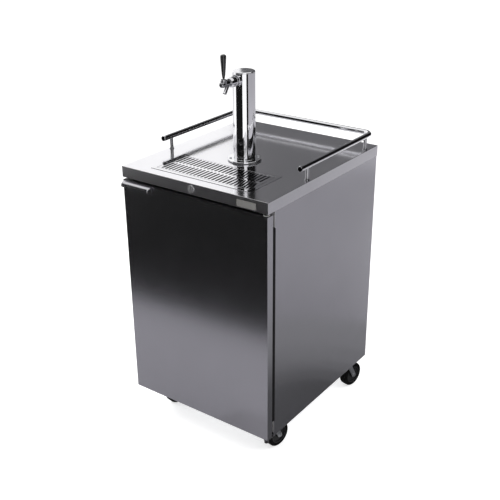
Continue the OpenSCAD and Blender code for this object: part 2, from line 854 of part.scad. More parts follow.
module column_cap() color("dimgray") {
    plug = column_r - column_wall - snug;
    edge = 1.5;
    crown = 12;
    translate([0, column_y, column_z1]) rotate_extrude() polygon([
        [0, -cap_plug], [plug, -cap_plug], [plug, 0], [column_r, 0], [column_r, cap_t - 2 * edge],
        [column_r - edge, cap_t - edge], [column_r - crown, cap_t], [0, cap_t]
    ]);
}

module column_screws() color("silver") screw_places() {
    head_r = 5;
    head_top_r = 3.5;
    head_t = 3;
    screw_z0 = deck_under - screw_l;
    translate([0, 0, screw_z0]) cylinder(h = column_z0 - screw_z0 + over, r = screw_r);
    translate([0, 0, column_z0]) cylinder(h = head_t, r1 = head_r, r2 = head_top_r);
}

// Tap

module shank() color("silver") difference() {
    tap_frame() {
        translate([0, 0, -shank_in]) cylinder(h = shank_in + shank_end, r = shank_r);
        difference() {
            translate([0, 0, column_r / 2]) cylinder(h = saddle_end - column_r / 2, r = saddle_r);
            rotate([-90, 0, 0]) translate([0, 0, -2 * saddle_r])
                cylinder(h = 4 * saddle_r, r = column_r + snug);
        }
    }
    tap_frame() translate([0, 0, -shank_in - over])
        cylinder(h = shank_in + shank_end + 2 * over, r = shank_bore_r);
}

module shank_locknut() color("goldenrod") {
    inside_r = column_r - column_wall - snug;
    nut_t = 10;
    nut_d = shank_r + 5;
    intersection() {
        tap_frame() difference() {
            translate([0, 0, inside_r - nut_t]) cylinder(h = nut_t, r = nut_d, $fn = 6);
            translate([0, 0, inside_r - nut_t - over]) cylinder(h = nut_t + 2 * over, r = shank_r + snug);
        }
        translate([0, column_y, tap_z - 2 * nut_d]) cylinder(h = 4 * nut_d, r = inside_r);
    }
}

module coupling_nut() color("silver") tap_frame() {
    groove = 1.5;
    nose = 5;
    shank_hole = shank_r + snug;
    body_hole = barrel_r + snug;
    mid = (saddle_end + nut_end) / 2;
    rotate_extrude() polygon([
        [shank_hole, saddle_end], [nut_r, saddle_end], [nut_r, mid - groove], [nut_r - groove, mid],
        [nut_r, mid + groove], [nut_r, nut_end - nose], [nut_r - nose / 2, nut_end], [body_hole, nut_end],
        [body_hole, shank_end], [shank_hole, shank_end]
    ]);
}

module tap_body() color("silver") {
    nose_step = 1.5;
    boss_r = bonnet_r - 0.5;
    boss_sink = 2;
    shaft_bore_r = shaft_r + run;
    bore_end = barrel_end - tap_nose;
    spout_back = 25;
    spout_root = lever_out - spout_back;
    socket_r = ball_r + slip;
    foot_r = socket_r + 1.5;
    foot_z = 0.5 - ball_r;
    difference() {
        union() {
            tap_frame() {
                rotate_extrude() polygon([
                    [0, shank_end], [barrel_r, shank_end], [barrel_r, bore_end],
                    [barrel_r - nose_step, barrel_end - tap_nose / 3],
                    [barrel_r / 2, barrel_end], [0, barrel_end]
                ]);
                translate([0, 0, spout_root]) rotate([90 - spout_tilt, 0, 0])
                    cylinder(h = spout_l, r = spout_r);
            }
            translate([0, lever_y, tap_z - boss_sink]) cylinder(h = bonnet_z0 + boss_sink, r = boss_r);
        }
        tap_frame() {
            translate([0, 0, shank_end - over]) cylinder(h = bore_end - shank_end + over, r = shaft_bore_r);
            translate([0, 0, spout_root]) rotate([90 - spout_tilt, 0, 0])
                cylinder(h = spout_l + over, r = spout_bore_r);
        }
        translate([0, lever_y, pivot_z]) rotate_extrude() polygon([
            [0, over - pivot_up], [foot_r, over - pivot_up], [socket_r, foot_z], [socket_r, over],
            [mouth_r, bonnet_z1 - pivot_up], [0, bonnet_z1 - pivot_up]
        ]);
    }
}

module tap_bonnet() color("silver") translate([0, lever_y, tap_z + bonnet_z0]) difference() {
    taper = 0.5;
    cylinder(h = bonnet_z1 - bonnet_z0, r1 = bonnet_r, r2 = bonnet_r - taper);
    translate([0, 0, -over]) cylinder(h = bonnet_z1 - bonnet_z0 + 2 * over, r = mouth_r);
}

module tap_shaft() color("gold") difference() {
    back_len = 34;
    shaft_room = 1.5;
    front_len = lever_back - tap_nose - shaft_room;
    ball_room = 9;
    finger_room = 3.6;
    notch_depth = 2.5;
    cut_x = shaft_r + over;
    rod_y(lever_y - front_len, lever_y + back_len, 0, tap_z, shaft_r);
    box([-cut_x, lever_y - ball_room, pivot_z - ball_r - slip], [cut_x, lever_y + ball_room, pivot_z]);
    box([-cut_x, lever_y - finger_room, tap_z - notch_depth], [cut_x, lever_y + finger_room, pivot_z]);
}

module tap_lever() color("silver") translate([0, lever_y, pivot_z]) {
    finger_r = 2;
    finger_l = 9.5;
    sphere(r = ball_r);
    cylinder(h = knob_up + stem_in, r = stem_r);
    translate([0, 0, -finger_l]) cylinder(h = finger_l, r = finger_r);
}

module tap_handle() color("black") {
    stem_hole = stem_r + snug;
    stem_depth = stem_in + 0.5;
    foot_h = 10;
    foot_top_r = knob_foot_r + 0.4;
    waist_r = knob_r * 0.7;
    top_r = knob_r * 0.6;
    crown = 8;
    translate([0, lever_y, pivot_z + knob_up]) rotate_extrude() polygon([
        [stem_hole, 0], [knob_foot_r, 0], [foot_top_r, foot_h], [waist_r, knob_l / 2],
        [knob_r, knob_l - crown], [knob_r - crown / 8, knob_l - crown / 2], [top_r, knob_l - crown / 8],
        [0, knob_l], [0, stem_depth], [stem_hole, stem_depth]
    ]);
}

// Door

module bush_pockets(r) {
    translate([pin_x, pin_y, door_z1 - pin_len - over]) cylinder(h = pin_len + 2 * over, r = r);
    translate([pin_x, pin_y, door_z0 - over]) cylinder(h = pin_len + 2 * over, r = r);
}

module door_skin() color("dimgray") difference() {
    box([-panel_x, y_front, door_z0], [panel_x, door_back, door_z1]);
    box([-inner_x, y_front + sheet_t, door_z0 + sheet_t], [inner_x, door_back + over, door_z1 - sheet_t]);
    bush_pockets(bush_r + snug);
}

module dyke_box(shrink, y0) {
    box([-open_x + dyke_gap + shrink, y0, open_z0 + dyke_gap + shrink],
        [open_x - dyke_gap - shrink, door_back + dyke_d - shrink, open_z1 - dyke_gap - shrink]);
}

module door_foam() color("khaki") difference() {
    union() {
        box([-inner_x, y_front + sheet_t, door_z0 + sheet_t],
            [inner_x, door_back - sheet_t, door_z1 - sheet_t]);
        dyke_box(sheet_t, door_back - 2 * sheet_t);
    }
    bush_pockets(bush_r + snug);
}

module door_liner() color("white") difference() {
    union() {
        box([-inner_x, door_back - sheet_t, door_z0 + sheet_t], [inner_x, door_back, door_z1 - sheet_t]);
        dyke_box(0, door_back - sheet_t);
    }
    dyke_box(sheet_t, door_back - 2 * sheet_t);
}

module door_seal() color("black") difference() {
    side_gap = 1;
    edge_x = min(pin_x, breaker_x) - side_gap;
    box([-edge_x, door_back, breaker_z0 + seal_inset], [edge_x, door_back + seal_t, breaker_z1 - seal_inset]);
    box([-open_x - seal_inset, door_back - over, open_z0 - seal_inset],
        [open_x + seal_inset, door_back + seal_t + over, open_z1 + seal_inset]);
}

module door_handle() color("silver") {
    z1 = door_z1 - handle_below;
    bend_y = handle_bend - handle_out;
    bend_z = z1 - handle_bend;
    start_x = handle_in - panel_x;
    difference() {
        translate([start_x + handle_l / 2, y_front, 0]) across(handle_l) {
            translate([bend_y, z1 - handle_t]) square([-bend_y, handle_t]);
            translate([-handle_t, z1 - handle_flange]) square([handle_t, handle_flange]);
            translate([-handle_out, bend_z - handle_lip]) square([handle_t, handle_lip]);
            translate([bend_y, bend_z]) intersection() {
                difference() {
                    circle(handle_bend);
                    circle(handle_bend - handle_t);
                }
                translate([-handle_bend, 0]) square(handle_bend);
            }
        }
        translate([start_x + handle_l, y_front - handle_out, z1 - handle_flange - over]) rotate([0, 0, 45])
            translate([-handle_cut / sqrt(2), -handle_cut, 0])
                cube([2 * handle_cut, 2 * handle_cut, handle_flange + 2 * over]);
    }
}

module hinge_bushes() color("ivory") {
    lift = 0.1;
    difference() {
        union() {
            translate([pin_x, pin_y, door_z1 - pin_len]) cylinder(h = pin_len, r = bush_r);
            translate([pin_x, pin_y, door_z1]) cylinder(h = hinge_gap - lift, r = bush_flange_r);
            translate([pin_x, pin_y, door_z0]) cylinder(h = pin_len, r = bush_r);
            translate([pin_x, pin_y, base_z + lift]) cylinder(h = door_rise - lift, r = bush_flange_r);
        }
        translate([pin_x, pin_y, base_z]) cylinder(h = upper_z - base_z, r = pin_r + run);
    }
}

module hinge_brackets() color("silver") {
    nose_r = 10;
    low_x = pin_x - bracket_w;
    high_x = pin_x + nose_r;
    foot_y = castor_front_y - plate_l / 2 - bracket_gap;
    translate([pin_x, pin_y, upper_z]) cylinder(h = bracket_t, r = nose_r);
    box([low_x, pin_y, upper_z], [high_x, cab_y0, upper_z + bracket_t]);
    box([low_x, cab_y0 - bracket_t, upper_z], [high_x, cab_y0, upper_z + bracket_len]);
    translate([pin_x, pin_y, upper_z - pin_len]) cylinder(h = pin_len + over, r = pin_r);
    translate([pin_x, pin_y, base_z - bracket_t]) cylinder(h = bracket_t, r = nose_r);
    translate([pin_x, pin_y, base_z - bracket_t - pin_boss_l])
        cylinder(h = pin_boss_l + over, r = pin_boss_r);
    box([low_x, pin_y, base_z - bracket_t], [high_x, foot_y, base_z]);
    translate([pin_x, pin_y, base_z - over]) cylinder(h = door_rise + pin_len + over, r = pin_r);
}

// Cooling unit

module compressor() color("black") translate([-comp_x, mach_y, floor_z]) {
    foot_h = 10;
    foot_r = 11;
    foot_in = 12;
    foot_plate = 4;
    plate_y = comp_r - 2;
    dome = 30;
    shell_z = foot_h + foot_plate;
    for (sx = [-1, 1]) for (sy = [-1, 1])
        translate([sx * (comp_plate_x - foot_in), sy * (plate_y - foot_in), 0])
            cylinder(h = foot_h, r = foot_r);
    box([-comp_plate_x, -plate_y, foot_h], [comp_plate_x, plate_y, shell_z]);
    translate([0, 0, shell_z]) rotate_extrude() polygon([
        [0, 0], [comp_r - dome / 2, 0], [comp_r - dome / 8, dome / 2], [comp_r, dome],
        [comp_r, comp_h - dome], [comp_r - dome / 4, comp_h - dome / 2],
        [comp_r / 2, comp_h - dome / 10], [0, comp_h]
    ]);
}

module condenser_coil() color("dimgray")
    translate([cond_x, (cond_y0 + cond_y1) / 2, floor_z])
        coil_shape(cond_x1 - cond_x0, coil_t, cond_h, cond_fins, cond_rows);

module condenser_fan() color("gray")
    translate([cond_x, cond_fan_y, cond_fan_z])
        fan_shape(cond_fan_r, cond_hub_r, 2 * cond_hub_half, fan_blades);

module evaporator_fan() color("gray")
    translate([0, evap_fan_y, evap_fan_z]) fan_shape(evap_fan_r, evap_hub_r, 2 * evap_hub_half, fan_blades);

module fan_motors() color("darkslategray") {
    cond_motor_y = cond_fan_y - blade_reach(cond_fan_r) - over;
    cond_motor_l = 36;
    post_w = 24;
    post_in = 6;
    shaft_short = 2;
    evap_motor_y = evap_fan_y + blade_reach(evap_fan_r) + over;
    rod_y(cond_motor_y - cond_motor_l, cond_motor_y, cond_x, cond_fan_z, cond_motor_r);
    rod_y(cond_motor_y - over, cond_fan_y + cond_hub_half - shaft_short, cond_x, cond_fan_z, fan_shaft_r);
    box([cond_x - post_w / 2, cond_motor_y - cond_motor_l, floor_z],
        [cond_x + post_w / 2, cond_motor_y - post_in, cond_fan_z]);
    rod_y(evap_motor_y, evap_coil_y, 0, evap_fan_z, evap_motor_r);
    rod_y(evap_fan_y - evap_hub_half + shaft_short, evap_motor_y + over, 0, evap_fan_z, fan_shaft_r);
}

module evaporator_cover() color("white") {
    hole_r = evap_fan_r + 6;
    bar = 5;
    bar_step = hole_r / 2.5;
    vent_w = 12;
    vent_in = 20;
    vent_l = evap_d - 2 * vent_in;
    vent_step = evap_w / 10;
    difference() {
        box([-evap_w / 2, evap_y0, evap_z0], [evap_w / 2, liner_y1, evap_z1]);
        box([sheet_t - evap_w / 2, evap_y0 + sheet_t, evap_z0 + sheet_t],
            [evap_w / 2 - sheet_t, liner_y1 + over, evap_z1 - sheet_t]);
        difference() {
            rod_y(evap_y0 - over, evap_y0 + sheet_t + over, 0, evap_fan_z, hole_r);
            for (k = [-2:2]) box([-hole_r - over, evap_y0 - over, evap_fan_z + k * bar_step - bar / 2],
                [hole_r + over, evap_y0 + sheet_t + over, evap_fan_z + k * bar_step + bar / 2]);
        }
        for (k = [-4:4]) translate([k * vent_step, (evap_y0 + liner_y1) / 2, evap_z0 - over])
            linear_extrude(sheet_t + 2 * over) slot_outline(vent_w, vent_l);
        rod_y(evap_y0 - over, evap_y0 + sheet_t + over, dial_x, dial_z, fan_shaft_r + run);
    }
}

module evaporator_coil() color("silver") {
    coil_in = 40;
    translate([0, evap_coil_y + coil_t / 2, evap_z0 + coil_in])
        coil_shape(evap_w - 2 * sheet_t, coil_t, evap_h - 2 * coil_in, evap_fins, evap_rows);
}

module thermostat_knob() color("black") {
    pointer_w = 2;
    pointer_d = 1.5;
    stem_past = 8;
    difference() {
        union() {
            rod_y(evap_y0 - slip - dial_d, evap_y0 - slip, dial_x, dial_z, dial_r);
            rod_y(evap_y0 - slip - over, evap_y0 + sheet_t + stem_past, dial_x, dial_z, fan_shaft_r);
        }
        box([dial_x - pointer_w / 2, evap_y0 - slip - dial_d - over, dial_z],
            [dial_x + pointer_w / 2, evap_y0 - slip - dial_d + pointer_d, dial_z + dial_r + over]);
    }
}

// Castors

module castor_plates() color("silver") {
    head_t = 4;
    head_r = king_r + 4;
    king_z0 = crown_z0 - slip - head_t;
    difference() {
        for (c = castors) translate([c[0], c[1], 0]) {
            translate([-plate_w / 2, -plate_l / 2, base_z - plate_t]) cube([plate_w, plate_l, plate_t]);
            translate([0, 0, race_z]) cylinder(h = race_t + over, r = race_r);
            translate([0, 0, king_z0]) cylinder(h = base_z - plate_t - king_z0, r = king_r);
            translate([0, 0, king_z0]) cylinder(h = head_t, r = head_r);
        }
        bolt_places() translate([0, 0, base_z - plate_t - over]) cylinder(h = plate_t + 2 * over, r = bolt_r);
    }
}

module castor_bolts() color("silver") bolt_places() {
    head_t = 5;
    head_r = bolt_r * 1.6;
    translate([0, 0, base_z - plate_t - head_t]) cylinder(h = head_t, r = head_r, $fn = 6);
    translate([0, 0, base_z - plate_t - over]) cylinder(h = plate_t + base_t + over, r = bolt_r);
}

module fork(i) castor_frame(i) {
    crown_r = race_r + 1;
    crown_half = 11;
    eye_r = 9;
    leg_out = eye_r * 0.8;
    leg_rise = 6;
    bolt_head_r = 7;
    bolt_head_t = 3;
    leg_end = leg_x + leg_t;
    difference() {
        union() {
            translate([0, 0, crown_z0]) cylinder(h = crown_t, r = crown_r);
            for (side = [-1, 1]) translate([side * (leg_x + leg_t / 2), 0, 0]) across(leg_t) {
                polygon([
                    [-crown_half, crown_z1], [crown_half, crown_z1],
                    [trail + leg_out, axle_z + leg_rise], [trail - leg_out, axle_z - leg_rise]
                ]);
                translate([trail, axle_z]) circle(r = eye_r);
            }
            rod_x(-leg_end, leg_end, trail, axle_z, axle_r);
            for (side = [-1, 1]) rod_x(side > 0 ? leg_end - over : -leg_end - bolt_head_t,
                side > 0 ? leg_end + bolt_head_t : over - leg_end, trail, axle_z, bolt_head_r);
        }
        translate([0, 0, crown_z0 - over]) cylinder(h = crown_t + 2 * over, r = king_r + run);
    }
}

module hub(i) castor_frame(i) {
    dish = 4;
    rim = 4;
    boss_r = axle_r + 6;
    half = wheel_w / 2;
    hub_face = half + leg_gap - slip;
    translate([0, trail, axle_z]) rotate([0, 90, 0]) rotate_extrude() polygon([
        [axle_r + run, -hub_face], [boss_r, -hub_face], [boss_r, dish - half], [hub_r - rim, dish - half],
        [hub_r - rim, -half], [hub_r, -half], [hub_r, half], [hub_r - rim, half],
        [hub_r - rim, half - dish], [boss_r, half - dish], [boss_r, hub_face], [axle_r + run, hub_face]
    ]);
}

module tyre(i) castor_frame(i) {
    half = wheel_w / 2;
    round = 5;
    bevel = round * 0.3;
    inner = hub_r + snug;
    outer = wheel_d / 2;
    translate([0, trail, axle_z]) rotate([0, 90, 0]) rotate_extrude() polygon([
        [inner, -half], [outer - round, -half], [outer - bevel, bevel - half], [outer, round - half],
        [outer, half - round], [outer - bevel, half - bevel], [outer - round, half], [inner, half]
    ]);
}

module fork_front_left() color("gray") fork(0);
module fork_front_right() color("gray") fork(1);
module fork_rear_left() color("gray") fork(2);
module fork_rear_right() color("gray") fork(3);
module hub_front_left() color("darkgray") hub(0);
module hub_front_right() color("darkgray") hub(1);
module hub_rear_left() color("darkgray") hub(2);
module hub_rear_right() color("darkgray") hub(3);
module tyre_front_left() color("black") tyre(0);
module tyre_front_right() color("black") tyre(1);
module tyre_rear_left() color("black") tyre(2);
module tyre_rear_right() color("black") tyre(3);

base_frame();
left_side_panel();
right_side_panel();
back_panel();
inner_liner();
cabinet_foam();
breaker_frame();
keg_floor();
countertop();
nameplate();
lock_body();
lock_plug();
tray_frame();
tray_pan();
tray_drain();
tray_grid();
rail_tube();
rail_posts();
column_gasket();
column_flange();
column_tube();
column_cap();
column_screws();
shank();
shank_locknut();
coupling_nut();
tap_body();
tap_bonnet();
tap_shaft();
tap_lever();
tap_handle();
door_skin();
door_foam();
door_liner();
door_seal();
door_handle();
hinge_bushes();
hinge_brackets();
compressor();
condenser_coil();
condenser_fan();
fan_motors();
evaporator_cover();
evaporator_coil();
evaporator_fan();
thermostat_knob();
castor_plates();
castor_bolts();
fork_front_left();
fork_front_right();
fork_rear_left();
fork_rear_right();
hub_front_left();
hub_front_right();
hub_rear_left();
hub_rear_right();
tyre_front_left();
tyre_front_right();
tyre_rear_left();
tyre_rear_right();
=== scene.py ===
# %% [markdown]
# # A draft beer cooler, finished in Blender
#
# The cooler is a steel cabinet for one keg, with a door, a drip tray, a gallery rail and a tap column. Its
# solids come from CAD. This lesson gives them rounded edges, finer pieces and real finishes. Everything is
# in metres, with Z up, the door towards -Y and the floor at zero.

# %% Load the solids
import json
import math

import bmesh
import bpy
from mathutils import Matrix, Vector


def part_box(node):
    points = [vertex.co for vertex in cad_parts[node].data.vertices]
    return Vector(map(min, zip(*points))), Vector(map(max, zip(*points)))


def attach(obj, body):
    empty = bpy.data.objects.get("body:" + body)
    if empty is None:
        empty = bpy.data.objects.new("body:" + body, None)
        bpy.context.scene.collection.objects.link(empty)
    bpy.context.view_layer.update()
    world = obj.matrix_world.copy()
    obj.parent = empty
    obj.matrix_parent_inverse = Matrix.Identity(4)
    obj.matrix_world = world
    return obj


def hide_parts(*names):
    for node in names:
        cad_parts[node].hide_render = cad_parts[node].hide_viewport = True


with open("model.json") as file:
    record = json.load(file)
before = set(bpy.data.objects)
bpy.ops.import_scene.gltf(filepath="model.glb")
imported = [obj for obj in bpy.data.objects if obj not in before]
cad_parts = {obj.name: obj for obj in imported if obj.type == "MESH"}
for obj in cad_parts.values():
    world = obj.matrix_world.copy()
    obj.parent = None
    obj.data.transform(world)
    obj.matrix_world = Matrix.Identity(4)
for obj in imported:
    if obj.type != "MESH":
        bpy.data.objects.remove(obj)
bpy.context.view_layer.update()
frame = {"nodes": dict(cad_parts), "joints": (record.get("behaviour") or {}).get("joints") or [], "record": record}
nodes = frame["nodes"]
scene = bpy.context.scene
slot_of = {part["node"]: part["material_slot"] for part in frame["record"]["subparts"]}
joint_at = {joint["name"]: joint for joint in frame["joints"]}
body_of = {node: body for body, group in frame["record"]["behaviour"]["bodies"].items() for node in group}

# %% [markdown]
# ## The camera
#
# The photo was solved for its camera: the corners of the cabinet fix where it stood and how long its lens
# was. A camera could be aimed with a constraint, but the solved one also rolls a little, so its three axes
# are set directly.

# %% Camera
EYE = Vector((1.6359, -2.2635, 1.9194))
TURN = math.radians(36.07)
TILT = math.radians(24.74)
ROLL = math.radians(-0.45)
SENSOR = 36.0
FOCAL_PIXELS = 848.3
PHOTO_PIXELS = 500

back = Vector((math.sin(TURN) * math.cos(TILT), -math.cos(TURN) * math.cos(TILT), math.sin(TILT)))
level = Vector((0, 0, 1)).cross(back).normalized()
upright = back.cross(level)
right = level * math.cos(ROLL) + upright * math.sin(ROLL)
up = upright * math.cos(ROLL) - level * math.sin(ROLL)
lens = bpy.data.cameras.new("photo_camera")
lens.sensor_fit = "HORIZONTAL"
lens.sensor_width = SENSOR
lens.lens = FOCAL_PIXELS / PHOTO_PIXELS * SENSOR
camera = bpy.data.objects.new("photo_camera", lens)
scene.collection.objects.link(camera)
camera.matrix_world = Matrix((right, up, back)).transposed().to_4x4()
camera.location = EYE
scene.camera = camera
scene.view_settings.view_transform = "Standard"
print("lens", round(lens.lens, 2), "mm")

# %% [markdown]
# ## Sums in a node tree
#
# A finish is a small program of nodes. Placing each node by hand hides the idea, so one class wraps an
# output socket. Python's own signs then add Math nodes, and one method adds every other node, in shaders
# and in geometry trees alike.


# %% A socket that does sums
class Wire:
    """An output socket of a node tree. Arithmetic on it adds Math nodes."""

    def __init__(self, tree, socket=None):
        self.tree = tree
        self.socket = socket

    def node(self, kind, settings=None, inputs=None, output=0):
        """Add a node, set its settings first and then its sockets, and return one of its outputs."""
        made = self.tree.nodes.new(kind)
        for key, value in (settings or {}).items():
            if key == "stops":
                self.set_stops(made.color_ramp, value)
            else:
                setattr(made, key, value)
        for key, value in (inputs or {}).items():
            if isinstance(value, Wire):
                self.tree.links.new(value.socket, made.inputs[key])
            else:
                made.inputs[key].default_value = value
        return Wire(self.tree, made.outputs[output])

    @staticmethod
    def set_stops(ramp, stops):
        """Give a colour ramp its stops, each a place and a grey or a colour."""
        while len(ramp.elements) > 1:
            ramp.elements.remove(ramp.elements[-1])
        for count, (place, shade) in enumerate(stops):
            stop = ramp.elements[0] if count == 0 else ramp.elements.new(place)
            stop.position = place
            stop.color = (*shade, 1) if isinstance(shade, tuple) else (shade, shade, shade, 1)

    def math(self, operation, first, second):
        return self.node("ShaderNodeMath", {"operation": operation}, {0: first, 1: second})

    def __add__(self, other):
        return self.math("ADD", self, other)

    def __sub__(self, other):
        return self.math("SUBTRACT", self, other)

    def __rsub__(self, other):
        return self.math("SUBTRACT", other, self)

    def __truediv__(self, other):
        return self.math("DIVIDE", self, other)

    def __rtruediv__(self, other):
        return self.math("DIVIDE", other, self)

    def __mul__(self, other):
        return self.math("MULTIPLY", self, other)

    __radd__ = __add__
    __rmul__ = __mul__


# %% [markdown]
# ## Finishes
#
# Nearly all of the cooler is bare metal, so the finishes differ in how they were worked: brushed, polished
# or plated. Each one reads Object coordinates, which are the frame's own metres, so a scratch keeps its
# real size on every piece. A picture of brushed steel would repeat and blur close up, so the grain is noise
# stretched along the brushing.


# %% Tools for finishes
def blank_finish(name):
    """A new material with its shader, and a wire on its object coordinates."""
    finish = bpy.data.materials.new(name)
    finish.use_nodes = True
    shader = finish.node_tree.nodes["Principled BSDF"]
    place = Wire(finish.node_tree).node("ShaderNodeTexCoord", output="Object")
    return finish, shader, place


def plug(shader, **wires):
    """Link wires, or set plain values, on a shader's sockets named with underscores for spaces."""
    for name, value in wires.items():
        socket = shader.inputs[name.replace("_", " ")]
        if isinstance(value, Wire):
            value.tree.links.new(value.socket, socket)
        else:
            socket.default_value = value


def noise(place, scale, detail=2.0, stretch=(1, 1, 1)):
    """Smooth noise from 0 to 1, finer along the axes with the larger stretch."""
    spread = place.node("ShaderNodeMapping", {"vector_type": "POINT"}, {"Vector": place, "Scale": stretch})
    return place.node("ShaderNodeTexNoise", {}, {"Vector": spread, "Scale": scale, "Detail": detail})


def ramp(value, low, high, dark, pale):
    """Spread a value from low to high between two shades."""
    return value.node("ShaderNodeValToRGB", {"stops": [(low, dark), (high, pale)]}, {"Fac": value})


def dent(height, strength, depth):
    """A normal that is dented by a height."""
    return height.node("ShaderNodeBump", {}, {"Height": height, "Strength": strength, "Distance": depth})


def tinted(shade, lift):
    """A colour made a little lighter or darker."""
    return tuple(min(1.0, part * lift) for part in shade)


# %% [markdown]
# ### Brushed, polished and plated metal
#
# Sheet steel is brushed along its length by a belt, which leaves lines under a millimetre wide and about as
# long as a finger. The lines roughen the metal unevenly, so they drive roughness and a shallow bump, and
# the colour only a little. Wiping leaves wider cloudy marks. Polished and plated pieces use the same
# recipe with less grain.


# %% Metal finishes
def metal(name, shade, rough, along, grain=0.05, cloud=0.04, coarse=1500.0, bump=0.03):
    """Worked metal: along is the axis of its brushing, as a stretch that is small on that axis."""
    finish, shader, place = blank_finish(name)
    lines = noise(place, coarse, 3.0, along)
    marks = noise(place, 9.0, 4.0)
    plug(
        shader,
        Base_Color=ramp(lines * 0.7 + marks * 0.3, 0.3, 0.7, tinted(shade, 0.93), tinted(shade, 1.05)),
        Metallic=1.0,
        Roughness=lines * grain + marks * cloud + (rough - 0.5 * (grain + cloud)),
        Normal=dent(lines, bump, 0.0002),
    )
    return finish


UPRIGHT = (1, 1, 0.012)
CROSSWISE = (0.012, 1, 1)
EVEN = (1, 1, 1)
PLATED = {"along": EVEN, "coarse": 400.0}
HANDLED = {**PLATED, "grain": 0.03, "cloud": 0.05, "bump": 0.01}

stainless = metal("brushed_stainless", (0.60, 0.595, 0.625), 0.19, UPRIGHT)
skirt_steel = metal("brushed_skirt", (0.74, 0.735, 0.76), 0.30, CROSSWISE)
grid_steel = metal("polished_grid", (0.76, 0.755, 0.78), 0.07, CROSSWISE, grain=0.03, bump=0.01)
# Dark steel as painted shade: it darkens the tray pan under the grid, the slot walls and the handle's cut ends.
painted_shade_steel = metal("steel_painted_shade", (0.07, 0.07, 0.075), 0.40, EVEN, coarse=500.0)
deck_steel = metal("polished_deck_steel", (0.80, 0.795, 0.82), 0.13, CROSSWISE, grain=0.04, bump=0.03)
chrome = metal("chrome_plate", (0.84, 0.84, 0.86), 0.05, **PLATED, grain=0.01, cloud=0.03, bump=0.003)
zinc = metal("zinc_plate", (0.55, 0.56, 0.58), 0.34, EVEN, grain=0.1, cloud=0.12, coarse=260.0, bump=0.1)
aluminium = metal("mill_aluminium", (0.74, 0.74, 0.75), 0.33, CROSSWISE, grain=0.12)
# Chrome painted dark, as a painted reflection of the dark studio, for the tap's body.
dark_reflection_chrome = metal("chrome_painted_dark_reflection", (0.32, 0.32, 0.335), 0.12, **HANDLED)
nut_chrome = metal("knurled_chrome", (0.74, 0.74, 0.76), 0.13, **HANDLED)
cap_steel = metal("satin_cap", (0.74, 0.74, 0.76), 0.10, **PLATED)
post_steel = metal("satin_post", (0.50, 0.50, 0.52), 0.22, **PLATED)
satin = metal("satin_lock_face", (0.72, 0.72, 0.73), 0.46, EVEN, coarse=700.0)
brass = metal("turned_brass", (0.72, 0.55, 0.26), 0.25, EVEN, grain=0.08, coarse=700.0)
print("metals made")

# %% [markdown]
# ### Galvanised sheet
#
# The back and the base are galvanised: the zinc freezes into flat crystals a centimetre across, each at its
# own angle. Voronoi cells are the natural pattern for that. Each cell's own random colour sets its
# brightness and its roughness.


# %% Galvanised finish
def galvanised_sheet():
    finish, shader, place = blank_finish("galvanised_spangle")
    cells = place.node("ShaderNodeTexVoronoi", {}, {"Vector": place, "Scale": 75.0}, output="Color")
    tone = place.node("ShaderNodeSeparateColor", {}, {"Color": cells}, output="Red")
    frost = noise(place, 320.0, 4.0)
    plug(
        shader,
        Base_Color=ramp(tone * 0.75 + frost * 0.25, 0.1, 0.9, (0.42, 0.43, 0.45), (0.60, 0.61, 0.63)),
        Metallic=1.0,
        Roughness=tone * 0.16 + frost * 0.12 + 0.30,
        Normal=dent(frost, 0.08, 0.0003),
    )
    return finish


galvanised = galvanised_sheet()
print("made", galvanised.name)

# %% [markdown]
# ### Plastic, rubber, paint and foam
#
# Moulded plastic and rubber copy the fine spark-eroded skin of their mould, and paint dries in a gentle
# orange peel. The same three noises do for all of them: a fine skin as bump, a broad drift in colour, and
# dust that dulls in patches. The handle and the tyres get their own numbers, because one is polished and
# the others pick up grey from the floor.


# %% Moulded finishes
def moulded(name, dark, pale, rough, skin=900.0, bump=0.15, dust=0.1, coat=0.0, shine=0.5):
    """A moulded or painted surface, from its dark tone to the pale tone of its dusty patches."""
    finish, shader, place = blank_finish(name)
    pores = noise(place, skin, 2.0)
    drift = noise(place, 14.0, 4.0)
    plug(
        shader,
        Base_Color=ramp(drift * 0.8 + pores * 0.2, 0.3, 0.75, dark, pale),
        Roughness=drift * dust + pores * 0.08 + (rough - 0.5 * dust - 0.04),
        Normal=dent(pores, bump, 0.0003),
        Coat_Weight=coat,
        Coat_Roughness=0.04,
        Specular_IOR_Level=shine,
    )
    return finish


black_plastic = moulded("black_moulding", (0.006, 0.006, 0.007), (0.016, 0.016, 0.017), 0.5, shine=0.25)
black_gloss = moulded(
    "polished_black_handle", (0.006, 0.006, 0.007), (0.014, 0.014, 0.015), 0.16,
    skin=60.0, bump=0.02, dust=0.06, coat=0.6
)
white_plastic = moulded(
    "white_door_liner", (0.70, 0.70, 0.68), (0.80, 0.80, 0.785), 0.42, skin=500.0, bump=0.1
)
grey_plastic = moulded("grey_moulding", (0.20, 0.20, 0.21), (0.30, 0.30, 0.31), 0.5, skin=600.0)
seal_rubber = moulded("seal_rubber", (0.010, 0.010, 0.011), (0.025, 0.025, 0.026), 0.62, skin=700.0, bump=0.2)
tyre_rubber = moulded(
    "tyre_rubber", (0.003, 0.003, 0.0035), (0.008, 0.008, 0.008), 0.6,
    skin=450.0, bump=0.3, dust=0.2, shine=0.015
)
# The hubs' grey moulding is painted near black, as painted shade of the cabinet above the wheels.
hub_painted_shade = moulded(
    "hub_moulding_painted_shade", (0.012, 0.012, 0.013), (0.024, 0.024, 0.026), 0.5, skin=600.0, shine=0.12
)
black_paint = moulded(
    "black_shell_paint", (0.010, 0.010, 0.011), (0.022, 0.022, 0.024), 0.3,
    skin=130.0, bump=0.12, dust=0.12, coat=0.3
)
plate_lacquer = moulded("plate_lacquer", (0.19, 0.186, 0.18), (0.24, 0.236, 0.23), 0.4, skin=300.0, bump=0.05)
foam = moulded("rigid_foam", (0.55, 0.44, 0.20), (0.74, 0.64, 0.36), 0.9, skin=380.0, bump=0.8)

